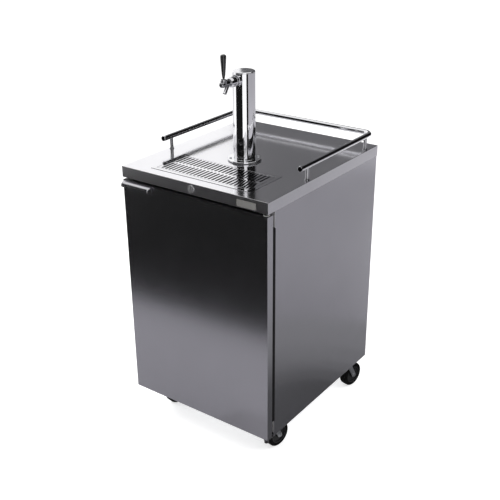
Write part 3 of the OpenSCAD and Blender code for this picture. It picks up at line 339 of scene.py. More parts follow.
finishes = {
    "stainless": stainless, "polished_deck": deck_steel, "chrome": chrome, "galvanised": galvanised,
    "zinc": zinc, "black_plastic": black_plastic, "black_gloss": black_gloss, "white_plastic": white_plastic,
    "grey_plastic": grey_plastic, "rubber": seal_rubber, "tyre": tyre_rubber, "foam": foam,
    "black_paint": black_paint, "aluminium": aluminium, "brass": brass,
}
print(len(finishes), "finishes for the record's slots")

# %% [markdown]
# ## Pieces
#
# A piece is a mesh that rides on one of the moving bodies and stands for a solid. Its object stays at the
# origin and its place is in the mesh, so that a finish doesn't slide when the piece moves.


# %% Tools for pieces
SHARP = math.radians(35)
BEVEL_ANGLE = math.radians(30)
FLAT = math.radians(0.5)
FACING = 0.9


def add_piece(name, mesh, stands_for, slot=None):
    """Link a mesh as a piece that stands for one or more solids, with their finish."""
    first = stands_for[0]
    slot = slot or slot_of[first]
    piece = bpy.data.objects.new(name, mesh)
    scene.collection.objects.link(piece)
    mesh.materials.clear()
    mesh.materials.append(finishes[slot])
    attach(piece, body_of[first])
    return piece


def show_instead(name, mesh, *stands_for):
    """Add a piece and hide the solids that it stands for."""
    piece = add_piece(name, mesh, stands_for)
    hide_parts(*stands_for)
    return piece


def paint(piece, finish, chosen=lambda face: True):
    """Give another finish to the faces for which chosen(face) holds, or to all of them."""
    piece.data.materials.append(finish)
    for face in piece.data.polygons:
        if chosen(face):
            face.material_index = len(piece.data.materials) - 1
    return piece


def round_edges(piece, width):
    """Round a piece's sharp edges with a live bevel."""
    bevel = piece.modifiers.new("rounded edges", "BEVEL")
    bevel.width = width
    bevel.segments = 2
    bevel.limit_method = "ANGLE"
    bevel.angle_limit = BEVEL_ANGLE
    bevel.harden_normals = True
    return piece


def to_mesh(work, name, smooth=True):
    """Turn a bmesh into a mesh with smooth faces."""
    mesh = bpy.data.meshes.new(name)
    for face in work.faces:
        face.smooth = smooth
    work.to_mesh(mesh)
    work.free()
    return mesh


# %% [markdown]
# ## Solids that only need their edges
#
# Many solids already have the right shape, but their edges are perfectly sharp, and no real edge is. A
# sharp edge never catches the light. So a copy of each is merged, its flat faces are joined, and a bevel
# rounds it.


# %% Rounded copies of plain solids
def edged(node, width):
    """Show a copy of a solid with rounded edges."""
    work = bmesh.new()
    work.from_mesh(nodes[node].data)
    bmesh.ops.remove_doubles(work, verts=work.verts, dist=2e-6)
    bmesh.ops.dissolve_limit(work, angle_limit=FLAT, verts=work.verts, edges=work.edges)
    mesh = to_mesh(work, node + "_edged")
    if "custom_normal" in mesh.attributes:
        mesh.attributes.remove(mesh.attributes["custom_normal"])
    return round_edges(show_instead(node + "_edged", mesh, node), width)


EDGES = {
    "left_side_panel": 0.0004, "right_side_panel": 0.0004, "back_panel": 0.0003, "inner_liner": 0.0004,
    "breaker_frame": 0.0008, "keg_floor": 0.0010, "lock_body": 0.0006, "lock_plug": 0.0004,
    "tray_frame": 0.0004, "tray_pan": 0.0003, "tray_drain": 0.0006, "rail_posts": 0.0006,
    "shank": 0.0006, "tap_body": 0.0007, "tap_bonnet": 0.0004,
    "door_liner": 0.0004, "door_handle": 0.0007, "hinge_bushes": 0.0005, "hinge_brackets": 0.0008,
    "evaporator_cover": 0.0004, "column_screws": 0.0004, "castor_plates": 0.0008, "castor_bolts": 0.0006,
}
CORNERS = ("front_left", "front_right", "rear_left", "rear_right")
for corner in CORNERS:
    EDGES["fork_" + corner] = 0.0009
    EDGES["hub_" + corner] = 0.0008
copies = {node: edged(node, width) for node, width in EDGES.items()}
# The tray pan under the grid gets the dark steel as painted shade.
COATS = {
    "tray_pan": painted_shade_steel, "tray_frame": grid_steel, "rail_posts": post_steel, "lock_body": satin,
    "lock_plug": satin,
}
# The hubs get the near-black moulding as painted shade.
for corner in CORNERS:
    COATS["hub_" + corner] = hub_painted_shade
for node, finish in COATS.items():
    paint(copies[node], finish)
# The tap body above the spout gets the dark chrome as a painted reflection, and the spout keeps the bright chrome.
spout_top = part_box("coupling_nut")[0].z
paint(copies["tap_body"], dark_reflection_chrome, lambda face: face.center.z > spout_top)
# The handle's cut ends get the dark steel as painted shade.
paint(copies["door_handle"], painted_shade_steel, lambda face: abs(face.normal.x) > FACING)
print(len(EDGES), "solids with rounded edges")

# %% [markdown]
# The hinge pin and the bore of its bush are many-sided here, and their corners would meet as the door
# turns. So the bore is opened by a hair, which stands for the oil film of the real bush.


# %% Bore of the hinge bushes
BORE_LIMIT = 0.0045
FILM = 0.0002
hinge = Vector(joint_at["door_hinge"]["pos_m"])
for vertex in copies["hinge_bushes"].data.vertices:
    out = Vector((vertex.co.x - hinge.x, vertex.co.y - hinge.y, 0))
    if out.length < BORE_LIMIT:
        vertex.co += out.normalized() * FILM
print("bore opened by", FILM * 1000, "mm")

# %% [markdown]
# The breaker frame is a plastic extrusion, and a narrow lip of it laps over the front edge of each side
# panel. That lip is what makes the seam beside the door a bold black line. It belongs to the same moulding,
# so it is added to the frame's own piece as a thin box, and the frame's bevel rounds it too.


# %% Lips of the breaker frame
def block(work, low, high):
    """Add a box between two corners."""
    made = bmesh.ops.create_cube(work, size=1.0)
    for vertex in made["verts"]:
        vertex.co = [low[i] + (vertex.co[i] + 0.5) * (high[i] - low[i]) for i in range(3)]


LIP_DEPTH = 0.0038
LIP_PROUD = 0.0004
LIP_ROOT = 0.0015


def add_lips(piece):
    """Add the two lips to the breaker frame's piece."""
    low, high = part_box("breaker_frame")
    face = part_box("right_side_panel")[1].x
    work = bmesh.new()
    work.from_mesh(piece.data)
    for side in (-1, 1):
        near, far = sorted((side * (face - LIP_ROOT), side * (face + LIP_PROUD)))
        block(work, (near, high.y - LIP_ROOT, low.z), (far, high.y + LIP_DEPTH, high.z))
    work.to_mesh(piece.data)
    work.free()


add_lips(copies["breaker_frame"])
print("lips", LIP_DEPTH * 1000, "mm wide")

# %% [markdown]
# ## Hidden solids
#
# Foam, coils, motors and the compressor are inside the cabinet and show only through slots, if at all. They
# keep their solids and get their finish.

# %% Finish of the hidden solids
HIDDEN = (
    "base_frame", "cabinet_foam", "door_foam", "column_gasket", "shank_locknut", "tap_shaft", "compressor",
    "condenser_coil", "fan_motors", "evaporator_coil",
)
for node in HIDDEN:
    nodes[node].data.materials.clear()
    nodes[node].data.materials.append(finishes[slot_of[node]])
print(len(HIDDEN), "solids kept as they are")

# %% [markdown]
# ## Folded sheet: door and countertop
#
# The door is a pan and the countertop a lid, both folded from one sheet, so their corners have a bend
# radius. Bevelling the whole solid fails at the thin rim. So only the outer faces are made, their folds are
# rounded, and a Solidify turns the sheet's thickness inwards.


# %% Folded sheet
FOLD = 0.0010
DOOR_SHEET = 0.0011
DECK_SHEET = 0.0014
TRAY_RIM = 0.0128


def fold_edges(work, keep):
    """Round the edges of a sheet for which keep(edge) holds."""
    folds = [edge for edge in work.edges if len(edge.link_faces) == 2 and keep(edge)]
    bmesh.ops.bevel(
        work, geom=folds, offset=FOLD, segments=4, profile=0.5, affect="EDGES", clamp_overlap=True
    )


def thicken(piece, thickness):
    """Give a sheet its thickness inwards."""
    wall = piece.modifiers.new("sheet thickness", "SOLIDIFY")
    wall.thickness = thickness
    wall.offset = -1
    return piece


def crisp(piece):
    """Keep flat faces flat beside the rounded folds."""
    even = piece.modifiers.new("flat faces", "WEIGHTED_NORMAL")
    even.keep_sharp = True
    return piece


def door_pan():
    """The door's outer skin: front and four returns."""
    low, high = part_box("door_skin")
    work = bmesh.new()
    block(work, low, high)
    open_side = [face for face in work.faces if face.normal.y > 0.5]
    bmesh.ops.delete(work, geom=open_side, context="FACES_ONLY")
    fold_edges(work, lambda edge: True)
    return to_mesh(work, "door_skin_folded")


door = crisp(thicken(show_instead("door_skin_folded", door_pan(), "door_skin"), DOOR_SHEET))
# The door's top return is painted black, as painted shade in the narrow gap under the fascia.
paint(door, black_plastic, lambda face: face.normal.z > 0.25)
print("door", [round(size, 4) for size in door.dimensions])

# %% [markdown]
# The deck has a window for the drip tray. A boolean could cut it, but it would leave long thin triangles
# beside it. So the deck's top is drawn as a frame of four faces round that window.


# %% Countertop
def deck_lid():
    """The countertop's outer skin: deck with the tray's window, and the skirt."""
    low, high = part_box("countertop")
    tray_low, tray_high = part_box("tray_frame")
    hole = (tray_low.x + TRAY_RIM, tray_low.y + TRAY_RIM, tray_high.x - TRAY_RIM, tray_high.y - TRAY_RIM)
    work = bmesh.new()

    def loop(x0, y0, x1, y1, z):
        return [work.verts.new((x, y, z)) for x, y in ((x0, y0), (x1, y0), (x1, y1), (x0, y1))]

    inner = loop(*hole, high.z)
    outer = loop(low.x, low.y, high.x, high.y, high.z)
    foot = loop(low.x, low.y, high.x, high.y, low.z)
    for i in range(4):
        j = (i + 1) % 4
        work.faces.new((outer[i], outer[j], inner[j], inner[i]))
        work.faces.new((foot[i], foot[j], outer[j], outer[i]))
    rim_verts = set(outer) | set(foot)
    fold_edges(work, lambda edge: all(v in rim_verts for v in edge.verts))
    bmesh.ops.recalc_face_normals(work, faces=work.faces)
    return to_mesh(work, "countertop_folded")


countertop = crisp(thicken(show_instead("countertop_folded", deck_lid(), "countertop"), DECK_SHEET))
paint(countertop, skirt_steel, lambda face: face.normal.z < 0.5)
print("countertop", [round(size, 4) for size in countertop.dimensions])

# %% [markdown]
# ## Geometry trees for what repeats
#
# The rail follows a path, slots, louvres and screws stand in rows, and knurls, flutes and blades stand in a
# ring. Copying them by hand would fix their number, so three small trees make all of them from a few named
# inputs. The result of each run is kept as a plain mesh, and the modifier that made it is let go.


# %% A tree with named inputs
def new_tree(name, inputs):
    """A geometry tree with a geometry input, more inputs by name, and a geometry output."""
    tree = bpy.data.node_groups.new(name, "GeometryNodeTree")
    tree.interface.new_socket("Geometry", in_out="INPUT", socket_type="NodeSocketGeometry")
    for label, kind in inputs.items():
        tree.interface.new_socket(label, in_out="INPUT", socket_type="NodeSocket" + kind)
    tree.interface.new_socket("Geometry", in_out="OUTPUT", socket_type="NodeSocketGeometry")
    source = tree.nodes.new("NodeGroupInput")
    return tree, {socket.name: Wire(tree, socket) for socket in source.outputs if socket.name}


def end_tree(tree, shape, material):
    """Realize what the tree made, give it its material and send it out."""
    solid = shape.node("GeometryNodeRealizeInstances", {}, {"Geometry": shape})
    shaded = shape.node("GeometryNodeSetShadeSmooth", {}, {"Geometry": solid})
    painted = shape.node("GeometryNodeSetMaterial", {}, {"Geometry": shaded, "Material": material})
    sink = tree.nodes.new("NodeGroupOutput")
    tree.links.new(painted.socket, sink.inputs["Geometry"])


def run_tree(tree, data, name, **values):
    """Run a tree on a mesh or a curve, with its inputs by name, and return the plain mesh."""
    carrier = bpy.data.objects.new(name, data)
    scene.collection.objects.link(carrier)
    maker = carrier.modifiers.new(name, "NODES")
    maker.node_group = tree
    for item in tree.interface.items_tree:
        if item.in_out == "INPUT" and item.name in values:
            maker[item.identifier] = values[item.name]
    depsgraph = bpy.context.evaluated_depsgraph_get()
    mesh = bpy.data.meshes.new_from_object(carrier.evaluated_get(depsgraph))
    mesh.name = name
    carrier.modifiers.remove(maker)
    bpy.data.objects.remove(carrier)
    return mesh


# %% [markdown]
# ### The gallery rail
#
# The rail is a polished tube, bent round three sides of the deck, that keeps glasses from sliding off. A
# bevelled curve would do, but its straight runs are single long faces, which shade badly beside a bend. The
# path tree rounds the corners and then lays rings at even steps.


# %% Tree for a tube along a path
def tube_tree():
    kinds = {"Radius": "Float", "Bend": "Float", "Step": "Float", "Material": "Material"}
    tree, given = new_tree("tube_along_path", kinds)
    path = given["Geometry"]
    bent = path.node(
        "GeometryNodeFilletCurve", {"mode": "POLY"}, {"Curve": path, "Count": 14, "Radius": given["Bend"]}
    )
    even = path.node(
        "GeometryNodeResampleCurve", {"mode": "LENGTH"}, {"Curve": bent, "Length": given["Step"]}
    )
    circle = path.node("GeometryNodeCurvePrimitiveCircle", {}, {"Resolution": 48, "Radius": given["Radius"]})
    tube = path.node(
        "GeometryNodeCurveToMesh", {}, {"Curve": even, "Profile Curve": circle, "Fill Caps": True}
    )
    end_tree(tree, tube, given["Material"])
    return tree


def path_of(name, points):
    """A curve of straight runs through some points."""
    curve = bpy.data.curves.new(name, "CURVE")
    curve.dimensions = "3D"
    run = curve.splines.new("POLY")
    run.points.add(len(points) - 1)
    for knot, point in zip(run.points, points):
        knot.co = (*point, 1)
    return curve


RAIL_BEND = 0.030
RAIL_STEP = 0.008
RAIL_SLEEVE = 0.022
rail_low, rail_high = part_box("rail_tube")
rail_r = (rail_high.z - rail_low.z) / 2
rail_z = rail_low.z + rail_r
run_x = rail_high.x - rail_r
run_y = rail_high.y - rail_r
open_y = rail_low.y + RAIL_SLEEVE
corners = [(-run_x, open_y), (-run_x, run_y), (run_x, run_y), (run_x, open_y)]
rail_path = path_of("rail_path", [(x, y, rail_z) for x, y in corners])
rail_mesh = run_tree(
    tube_tree(), rail_path, "rail_tube_bent", Radius=rail_r, Bend=RAIL_BEND, Step=RAIL_STEP, Material=chrome
)
rail_mesh.set_sharp_from_angle(angle=SHARP)
rail = show_instead("rail_tube_bent", rail_mesh, "rail_tube")
# The tube's end caps, deep in the sleeves, are painted black as painted shade of the hollow tube.
paint(rail, black_paint, lambda face: len(face.vertices) > 4)
print("rail", len(rail_mesh.polygons), "faces")

# %% [markdown]
# ### Trees for rows and rings
#
# A row of louvres and a ring of knurls are both one small piece, copied by a rule. The row tree works out
# each copy's column and line from its number, and the ring tree turns each copy a little further.


# %% Trees for rows and rings
def row_tree():
    kinds = {"Count": "Int", "Columns": "Int", "Across": "Vector", "Along": "Vector", "Material": "Material"}
    tree, given = new_tree("rows_of_pieces", kinds)
    piece = given["Geometry"]
    number = piece.node("GeometryNodeInputIndex")
    line = piece.node("ShaderNodeMath", {"operation": "FLOOR"}, {0: number / given["Columns"]})
    column = number - line * given["Columns"]
    across = piece.node("ShaderNodeVectorMath", {"operation": "SCALE"}, {0: given["Across"], "Scale": column})
    along = piece.node("ShaderNodeVectorMath", {"operation": "SCALE"}, {0: given["Along"], "Scale": line})
    spot = piece.node("ShaderNodeVectorMath", {"operation": "ADD"}, {0: across, 1: along})
    spots = piece.node("GeometryNodePoints", {}, {"Count": given["Count"], "Position": spot})
    copies = piece.node("GeometryNodeInstanceOnPoints", {}, {"Points": spots, "Instance": piece})
    end_tree(tree, copies, given["Material"])
    return tree


def ring_tree():
    tree, given = new_tree("ring_of_pieces", {"Count": "Int", "Material": "Material"})
    piece = given["Geometry"]
    number = piece.node("GeometryNodeInputIndex")
    turn = piece.node("ShaderNodeCombineXYZ", {}, {"Z": number * math.tau / given["Count"]})
    spots = piece.node("GeometryNodePoints", {}, {"Count": given["Count"]})
    copies = piece.node(
        "GeometryNodeInstanceOnPoints", {}, {"Points": spots, "Instance": piece, "Rotation": turn}
    )
    end_tree(tree, copies, given["Material"])
    return tree


rows = row_tree()
rings = ring_tree()
print("trees", rows.name, "and", rings.name)

# %% [markdown]
# ## Turned pieces
#
# The column, its cap, the tap's nut, lever and handle, and the tyres are all turned or moulded round an
# axis. Spinning a drawn outline copies the lathe itself. The outline's corners are rounded first, so no
# edge is left sharp.


# %% Lathe
def softened(outline, reach, steps=4):
    """Round the inner corners of an outline, starting at most reach from each corner."""
    made = [Vector(outline[0])]
    for before, corner, after in zip(outline, outline[1:], outline[2:]):
        corner = Vector(corner)
        arms = [Vector(before) - corner, Vector(after) - corner]
        start, end = (corner + arm.normalized() * min(reach, 0.45 * arm.length) for arm in arms)
        for step in range(steps + 1):
            share = step / steps
            made.append(start * (1 - share) ** 2 + corner * (2 * share * (1 - share)) + end * share ** 2)
    made.append(Vector(outline[-1]))
    return made


UP = (0, 0, 1)
FORWARD = (0, -1, 0)
BACKWARD = (0, 1, 0)
POLE = 1e-7
WELD = 1e-5


def stand(mesh, place, direction):
    """Turn a mesh made round Z to a direction, and move it to its place."""
    turn = Vector(UP).rotation_difference(Vector(direction))
    mesh.transform(Matrix.Translation(place) @ turn.to_matrix().to_4x4())
    return mesh


def skin(work, lower, upper):
    """Join two closed loops of vertices by faces, leaving out what vanishes at a pole."""
    for k in range(len(lower)):
        face = list(dict.fromkeys((lower[k - 1], lower[k], upper[k], upper[k - 1])))
        if len(face) > 2:
            work.faces.new(face)


def lathe(name, outline, place, direction, ring=False, turns=96):
    """Spin an outline of radius and height round an axis. A ring's outline closes on itself."""
    work = bmesh.new()
    angles = [math.tau * k / turns for k in range(turns)]
    circle = [(math.cos(angle), math.sin(angle)) for angle in angles]
    loops = []
    for radius, height in outline:
        if radius < POLE:
            loops.append([work.verts.new((0, 0, height))] * turns)
        else:
            loops.append([work.verts.new((radius * x, radius * y, height)) for x, y in circle])
    for lower, upper in zip(loops, loops[1:]):
        skin(work, lower, upper)
    if ring:
        skin(work, loops[-1], loops[0])
    bmesh.ops.recalc_face_normals(work, faces=work.faces)
    mesh = to_mesh(work, name)
    mesh.set_sharp_from_angle(angle=SHARP)
    return stand(mesh, place, direction)


def joined(name, *meshes, weld=False):
    """Several meshes as one. Welding merges their shared edges and turns the faces outwards."""
    work = bmesh.new()
    for mesh in meshes:
        work.from_mesh(mesh)
    if weld:
        bmesh.ops.remove_doubles(work, verts=work.verts, dist=WELD)
        bmesh.ops.recalc_face_normals(work, faces=work.faces)
    return to_mesh(work, name)


# %% [markdown]
# ### Open ends of the rail
#
# The tube is cut square in front, so each end shows its wall round a dark hole. Hollowing the whole tube
# would double its faces for two short views, so both ends are turned sleeves, their bore painted black as
# painted shade.

# %% Rail ends
RAIL_WALL = 0.0018
BORE_SLACK = 0.0002
bore_r = rail_r - RAIL_WALL
sleeve = [(bore_r, RAIL_SLEEVE), (bore_r, 0), (rail_r, 0), (rail_r, RAIL_SLEEVE)]
ends = [
    lathe(
        "sleeve", softened(sleeve, 0.0006), (side * run_x, rail_low.y, rail_z), BACKWARD, ring=True, turns=48
    )
    for side in (-1, 1)
]
rail_ends = add_piece("rail_ends", joined("rail_ends", *ends), ("rail_tube",))


def in_bore(face):
    """Whether a face of a sleeve looks at the tube's axis."""
    out = face.center - Vector((math.copysign(run_x, face.center.x), face.center.y, rail_z))
    return out.length < bore_r + BORE_SLACK


# The sleeves' bore is painted black as painted shade inside the tube.
paint(rail_ends, black_paint, in_bore)
print("rail ends", round(2000 * bore_r, 1), "mm inside")

# %% [markdown]
# ### Column, cap and foot
#
# The column is a polished tube three inches across. It stands on a flange with a small weld bead, and a
# pressed cap with a narrow shadow line closes its top. Plain cylinders would meet in sharp lines. Turned
# outlines have the bead, the line and the rounded rim in them, and each catches its own light.

# %% Column
tube_low, tube_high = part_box("column_tube")
column_r = (tube_high.x - tube_low.x) / 2
column_y = (tube_low.y + tube_high.y) / 2
axis = Vector((0, column_y, 0))
WALL = 0.0015
SHADOW_LINE = 0.0006
CAP_GAP = 0.0008
CAP_DEPTH = 0.004
inside_r = column_r - WALL
tube = [(inside_r, tube_low.z), (column_r, tube_low.z), (column_r, tube_high.z), (inside_r, tube_high.z)]
tube_mesh = lathe("column_tube_turned", tube, axis, UP, ring=True, turns=160)
show_instead("column_tube_turned", tube_mesh, "column_tube")

cap_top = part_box("column_cap")[1].z
cap_foot = tube_high.z - CAP_DEPTH
cap_seat = tube_high.z + SHADOW_LINE
plug_r = column_r - CAP_GAP
cap = [
    (0, cap_foot), (plug_r, cap_foot), (plug_r, cap_seat), (column_r, cap_seat), (column_r, cap_top - 0.0022),
    (column_r - 0.0030, cap_top - 0.0003), (0, cap_top)
]
cap_mesh = lathe("column_cap_pressed", softened(cap, 0.0012), axis, UP, turns=160)
cap_piece = show_instead("column_cap_pressed", cap_mesh, "column_cap")
paint(cap_piece, cap_steel, lambda face: face.normal.z > FACING)

flange_low, flange_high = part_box("column_flange")
flange_r = (flange_high.x - flange_low.x) / 2
BEAD = 0.0008
FLANGE_BORE = 0.026
bead_top = tube_low.z + BEAD
foot = [
    (FLANGE_BORE, flange_low.z), (flange_r, flange_low.z), (flange_r, tube_low.z - 0.0008),
    (flange_r - 0.0010, tube_low.z), (column_r + BEAD, tube_low.z),
    (column_r + BEAD * 0.3, tube_low.z + BEAD * 0.3), (column_r, bead_top), (FLANGE_BORE, bead_top)
]
foot_mesh = lathe("column_flange_turned", softened(foot, 0.0010), axis, UP, ring=True, turns=128)
show_instead("column_flange_turned", foot_mesh, "column_flange")
print("column", round(2000 * column_r, 1), "mm across")

# %% [markdown]
# ### Tap nut, lever and handle
#
# The nut that holds the tap on its shank is gripped by a knurled band, made with the ring tree. A knurl
# could be a bump in the finish, but a bump leaves the outline smooth, and a nut is seen against white. The
# lever is a ball with a stem, and the black handle covers the stem down to the bonnet.

# %% Tap nut
nut_low, nut_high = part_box("coupling_nut")
tap_z = (nut_low.z + nut_high.z) / 2
nut_r = (nut_high.z - nut_low.z) / 2
nut_l = nut_high.y - nut_low.y
nut_at = Vector((0, nut_high.y, tap_z))
KNURL = 0.0004
NUT_BORE = 0.0100
KNURLS = 60
body_r = nut_r - KNURL
nut = [(NUT_BORE, 0), (body_r, 0), (body_r, nut_l * 0.78), (body_r - 0.0040, nut_l), (NUT_BORE, nut_l)]
nut_turned = lathe("nut_turned", softened(nut, 0.0010), nut_at, FORWARD, ring=True)


def knurl_band(start, end, count):
    """A ring of small ridges round the nut, between two heights along its axis."""
    half = math.pi * nut_r / count * 0.55
    root = body_r - KNURL
    outline = [(root, -half), (nut_r, -half * 0.4), (nut_r, half * 0.4), (root, half)]
    work = bmesh.new()
    near = [work.verts.new((r, w, start)) for r, w in outline]
    far = [work.verts.new((r, w, end)) for r, w in outline]
    skin(work, near, far)
    work.faces.new(near[::-1])
    work.faces.new(far)
    bmesh.ops.recalc_face_normals(work, faces=work.faces)
    band = run_tree(rings, to_mesh(work, "knurl", False), "knurl_band", Count=count, Material=nut_chrome)
    return stand(band, nut_at, FORWARD)


band = knurl_band(nut_l * 0.08, nut_l * 0.30, KNURLS)
knurled_nut = joined("coupling_nut_knurled", nut_turned, band)
paint(show_instead("coupling_nut_knurled", knurled_nut, "coupling_nut"), nut_chrome)
print("nut", round(2000 * nut_r, 1), "mm across, with", KNURLS, "knurls")

# %% Lever and handle
pivot = Vector(joint_at["lever_pull"]["pos_m"])
BALL = 0.0055
ball_angles = [math.pi * k / 12 for k in range(2, 10)]
ball = [(BALL * math.sin(angle), -BALL * math.cos(angle)) for angle in ball_angles]
finger = [(0, -0.0093), (0.0014, -0.0093), (0.0019, -0.0085), (0.0019, -0.0052)]
stem = [*finger, *ball, (0.003, 0.0055), (0.003, 0.0130), (0, 0.0132)]
lever_mesh = lathe("tap_lever_turned", softened(stem, 0.0004, 2), pivot, UP)
show_instead("tap_lever_turned", lever_mesh, "tap_lever")
grip_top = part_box("tap_handle")[1].z - pivot.z
grip = [
    (0, 0.0088), (0.0034, 0.0088), (0.0035, 0.0120), (0.0045, 0.0145), (0.0060, 0.024), (0.0081, 0.050),
    (0.0096, 0.072), (0.0100, grip_top - 0.008), (0.0094, grip_top - 0.004), (0.0060, grip_top - 0.001),
    (0, grip_top)
]
grip_mesh = lathe("tap_handle_turned", softened(grip, 0.0050, 6), pivot, UP)
show_instead("tap_handle_turned", grip_mesh, "tap_handle")
print("handle", round(1000 * grip_top), "mm above its pivot")

# %% [markdown]
# ### Wheels
#
# Each wheel has a rubber tyre with two fine grooves round its tread, so a plain ring would look like a
# toy's. The wheels stand turned by ten degrees, and their axes come from the joints.

# %% Tyres
HALF = 0.015
RIM_GAP = 0.00005
hub_low, hub_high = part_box("hub_front_left")
RIM = (hub_high.z - hub_low.z) / 2 + RIM_GAP
tyre_low, tyre_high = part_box("tyre_front_left")
TREAD = (tyre_high.z - tyre_low.z) / 2
side = [
    (RIM, -HALF), (RIM + 0.004, -HALF + 0.0008), (TREAD - 0.0055, -HALF), (TREAD - 0.0014, -0.0138),
    (TREAD, -0.0105)
]
groove = [(TREAD, -0.0068), (TREAD - 0.0013, -0.0060), (TREAD, -0.0052)]
half_tyre = side + groove
tyre = half_tyre + [(r, -z) for r, z in reversed(half_tyre)]
for corner in CORNERS:
    roll = joint_at["roll_" + corner]
    name = "tyre_" + corner + "_grooved"
    mesh = lathe(name, softened(tyre, 0.0010, 3), roll["pos_m"], roll["axis"], ring=True)
    show_instead(name, mesh, "tyre_" + corner)
print("tyres", round(2000 * TREAD), "mm across")

# %% [markdown]
# ### Fans
#
# Both fans have five moulded blades that twist, steep at the hub and flatter at the tip, as fast air needs.
# A flat plate at a slant would be simpler, but it can't twist. So one blade is a bent grid of faces with a
# thickness, and the ring tree copies it.


# %% Fans
SPANS = 8
CHORDS = 6
ROOT_PITCH = 36
TWIST = 14
BLADE_THICKNESS = 0.0018
TIP_GAP = 0.985
SHAFT_R = 0.0031


def blade(radius, hub):
    """One twisted blade along X, with the fan's axis along Z."""
    work = bmesh.new()
    root = hub * 0.85
    grid = []
    for i in range(SPANS + 1):
        out = i / SPANS
        reach = root + (radius - root) * out
        pitch = math.radians(ROOT_PITCH - TWIST * out)
        chord = radius * (0.34 + 0.14 * math.sin(out * math.pi * 0.75))
        line = []
        for j in range(CHORDS + 1):
            across = j / CHORDS - 0.5
            camber = chord * 0.05 * (1 - 4 * across * across)
            width = across * chord
            line.append(work.verts.new((
                reach - 0.15 * radius * across * across * out,
                width * math.cos(pitch) - camber * math.sin(pitch),
                width * math.sin(pitch) + camber * math.cos(pitch),
            )))
        grid.append(line)
    for inner, outer in zip(grid, grid[1:]):
        for j in range(CHORDS):
            work.faces.new((inner[j], outer[j], outer[j + 1], inner[j + 1]))
    bmesh.ops.recalc_face_normals(work, faces=work.faces)
    bmesh.ops.solidify(work, geom=work.faces, thickness=BLADE_THICKNESS)
    return to_mesh(work, "blade")


def fan(node, joint, hub, depth, blades):
    """Show a fan with twisted blades for a solid one."""
    low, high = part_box(node)
    radius = (high.x - low.x) / 2 * TIP_GAP
    place = Vector(joint_at[joint]["pos_m"])
    ring = run_tree(rings, blade(radius, hub), node + "_blades", Count=blades, Material=grey_plastic)
    stand(ring, place, FORWARD)
    half = depth / 2
    boss = [(SHAFT_R, -half), (hub, -half), (hub, half), (SHAFT_R, half)]
    centre = lathe(node + "_hub", softened(boss, 0.002), place, FORWARD, ring=True, turns=48)
    show_instead(node + "_moulded", joined(node + "_moulded", ring, centre), node)
    print(node, blades, "blades,", round(2000 * radius), "mm across")


fan("condenser_fan", "condenser_spin", 0.020, 0.022, 5)
fan("evaporator_fan", "evaporator_spin", 0.015, 0.016, 5)

# %% [markdown]
# ### Thermostat knob
#
# The knob is fluted so that cold fingers can turn it. Cutting each flute with a boolean would be slow and
# rough, so the flutes are a ring of ridges set into a turned body.

# %% Thermostat knob
dial_low, dial_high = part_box("thermostat_knob")
dial_at = Vector(joint_at["thermostat_turn"]["pos_m"])
dial_r = (dial_high.x - dial_low.x) / 2
dial_top = dial_at.y - dial_low.y
FLUTE = 0.0012
FLUTES = 30
dial = [
    (0, -0.004), (0.003, -0.004), (0.003, 0.0003), (dial_r, 0.0003), (dial_r, 0.003),
    (dial_r - FLUTE, 0.0042), (dial_r - 2 * FLUTE, dial_top - 0.001), (dial_r * 0.6, dial_top), (0, dial_top)
]
dial_body = lathe("dial_body", softened(dial, 0.0008), dial_at, FORWARD, turns=72)


def box_mesh(name, low, high):
    """A box between two corners, as a mesh."""
    work = bmesh.new()
    block(work, low, high)
    return to_mesh(work, name, False)


flute = box_mesh("flute", (dial_r - 3 * FLUTE, -0.0009, 0.0035), (dial_r - 0.0008, 0.0009, dial_top - 0.0018))
flutes = stand(
    run_tree(rings, flute, "dial_flutes", Count=FLUTES, Material=black_plastic), dial_at, FORWARD
)
pointer = box_mesh(
    "pointer", (dial_at.x - 0.001, dial_low.y, dial_at.z + 0.006),
    (dial_at.x + 0.001, dial_low.y + 0.001, dial_at.z + dial_r - 0.003)
)
show_instead("thermostat_knob_fluted", joined("knob", dial_body, flutes, pointer), "thermostat_knob")
print("knob", round(2000 * dial_r, 1), "mm across, with", FLUTES, "flutes")

# %% [markdown]
# ## The drip grid
#
# The grid is a plate with two rows of slots, and each slot's lip is rounded by the punch. One cell round
# one slot is made from a stack of outlines, and the row tree lays the cells side by side.


# %% Outlines
def slot_outline(width, length, grow, steps=8):
    """A slot with round ends along Y, grown by some distance."""
    r = width / 2 + grow
    straight = (length - width) / 2
    points = []
    for end in (1, -1):
        for step in range(steps + 1):
            a = math.pi * step / steps
            points.append((end * r * math.cos(a), end * (straight + r * math.sin(a))))
    return points


def plate_outline(width, height, radius, inset, steps=6):
    """A rectangle with round corners, made smaller by an inset."""
    r = max(radius - inset, 0.0002)
    x, y = width / 2 - inset - r, height / 2 - inset - r
    points = []
    for quarter, (sx, sy) in enumerate(((1, 1), (-1, 1), (-1, -1), (1, -1))):
        for step in range(steps + 1):
            a = math.pi / 2 * (quarter + step / steps)
            points.append((sx * x + r * math.cos(a), sy * y + r * math.sin(a)))
    return points


def stack(work, loops):
    """Skin a stack of outlines, each a list of points with its height, and return the rings of vertices."""
    made = [[work.verts.new((x, y, height)) for x, y in loop] for loop, height in loops]
    for lower, upper in zip(made, made[1:]):
        skin(work, lower, upper)
    return made


# %% Grid cell
GRID_T = 0.002
SLOT_W = 0.0065
SLOT_L = 0.062
PITCH = 0.015
CELL_D = 0.070
GRID_MARGIN = 0.0185
GRID_CORNER = 0.003
LIP = (
    (0.0006, 0.0), (0.00018, -0.00018), (0.0, -0.0006), (0.0, -0.0014), (0.00018, -0.00182), (0.0006, -0.002)
)
grid_low, grid_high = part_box("tray_grid")
grid_mid = (grid_low + grid_high) / 2
grid_w = grid_high.x - grid_low.x
grid_d = grid_high.y - grid_low.y
slot_y = grid_d / 4


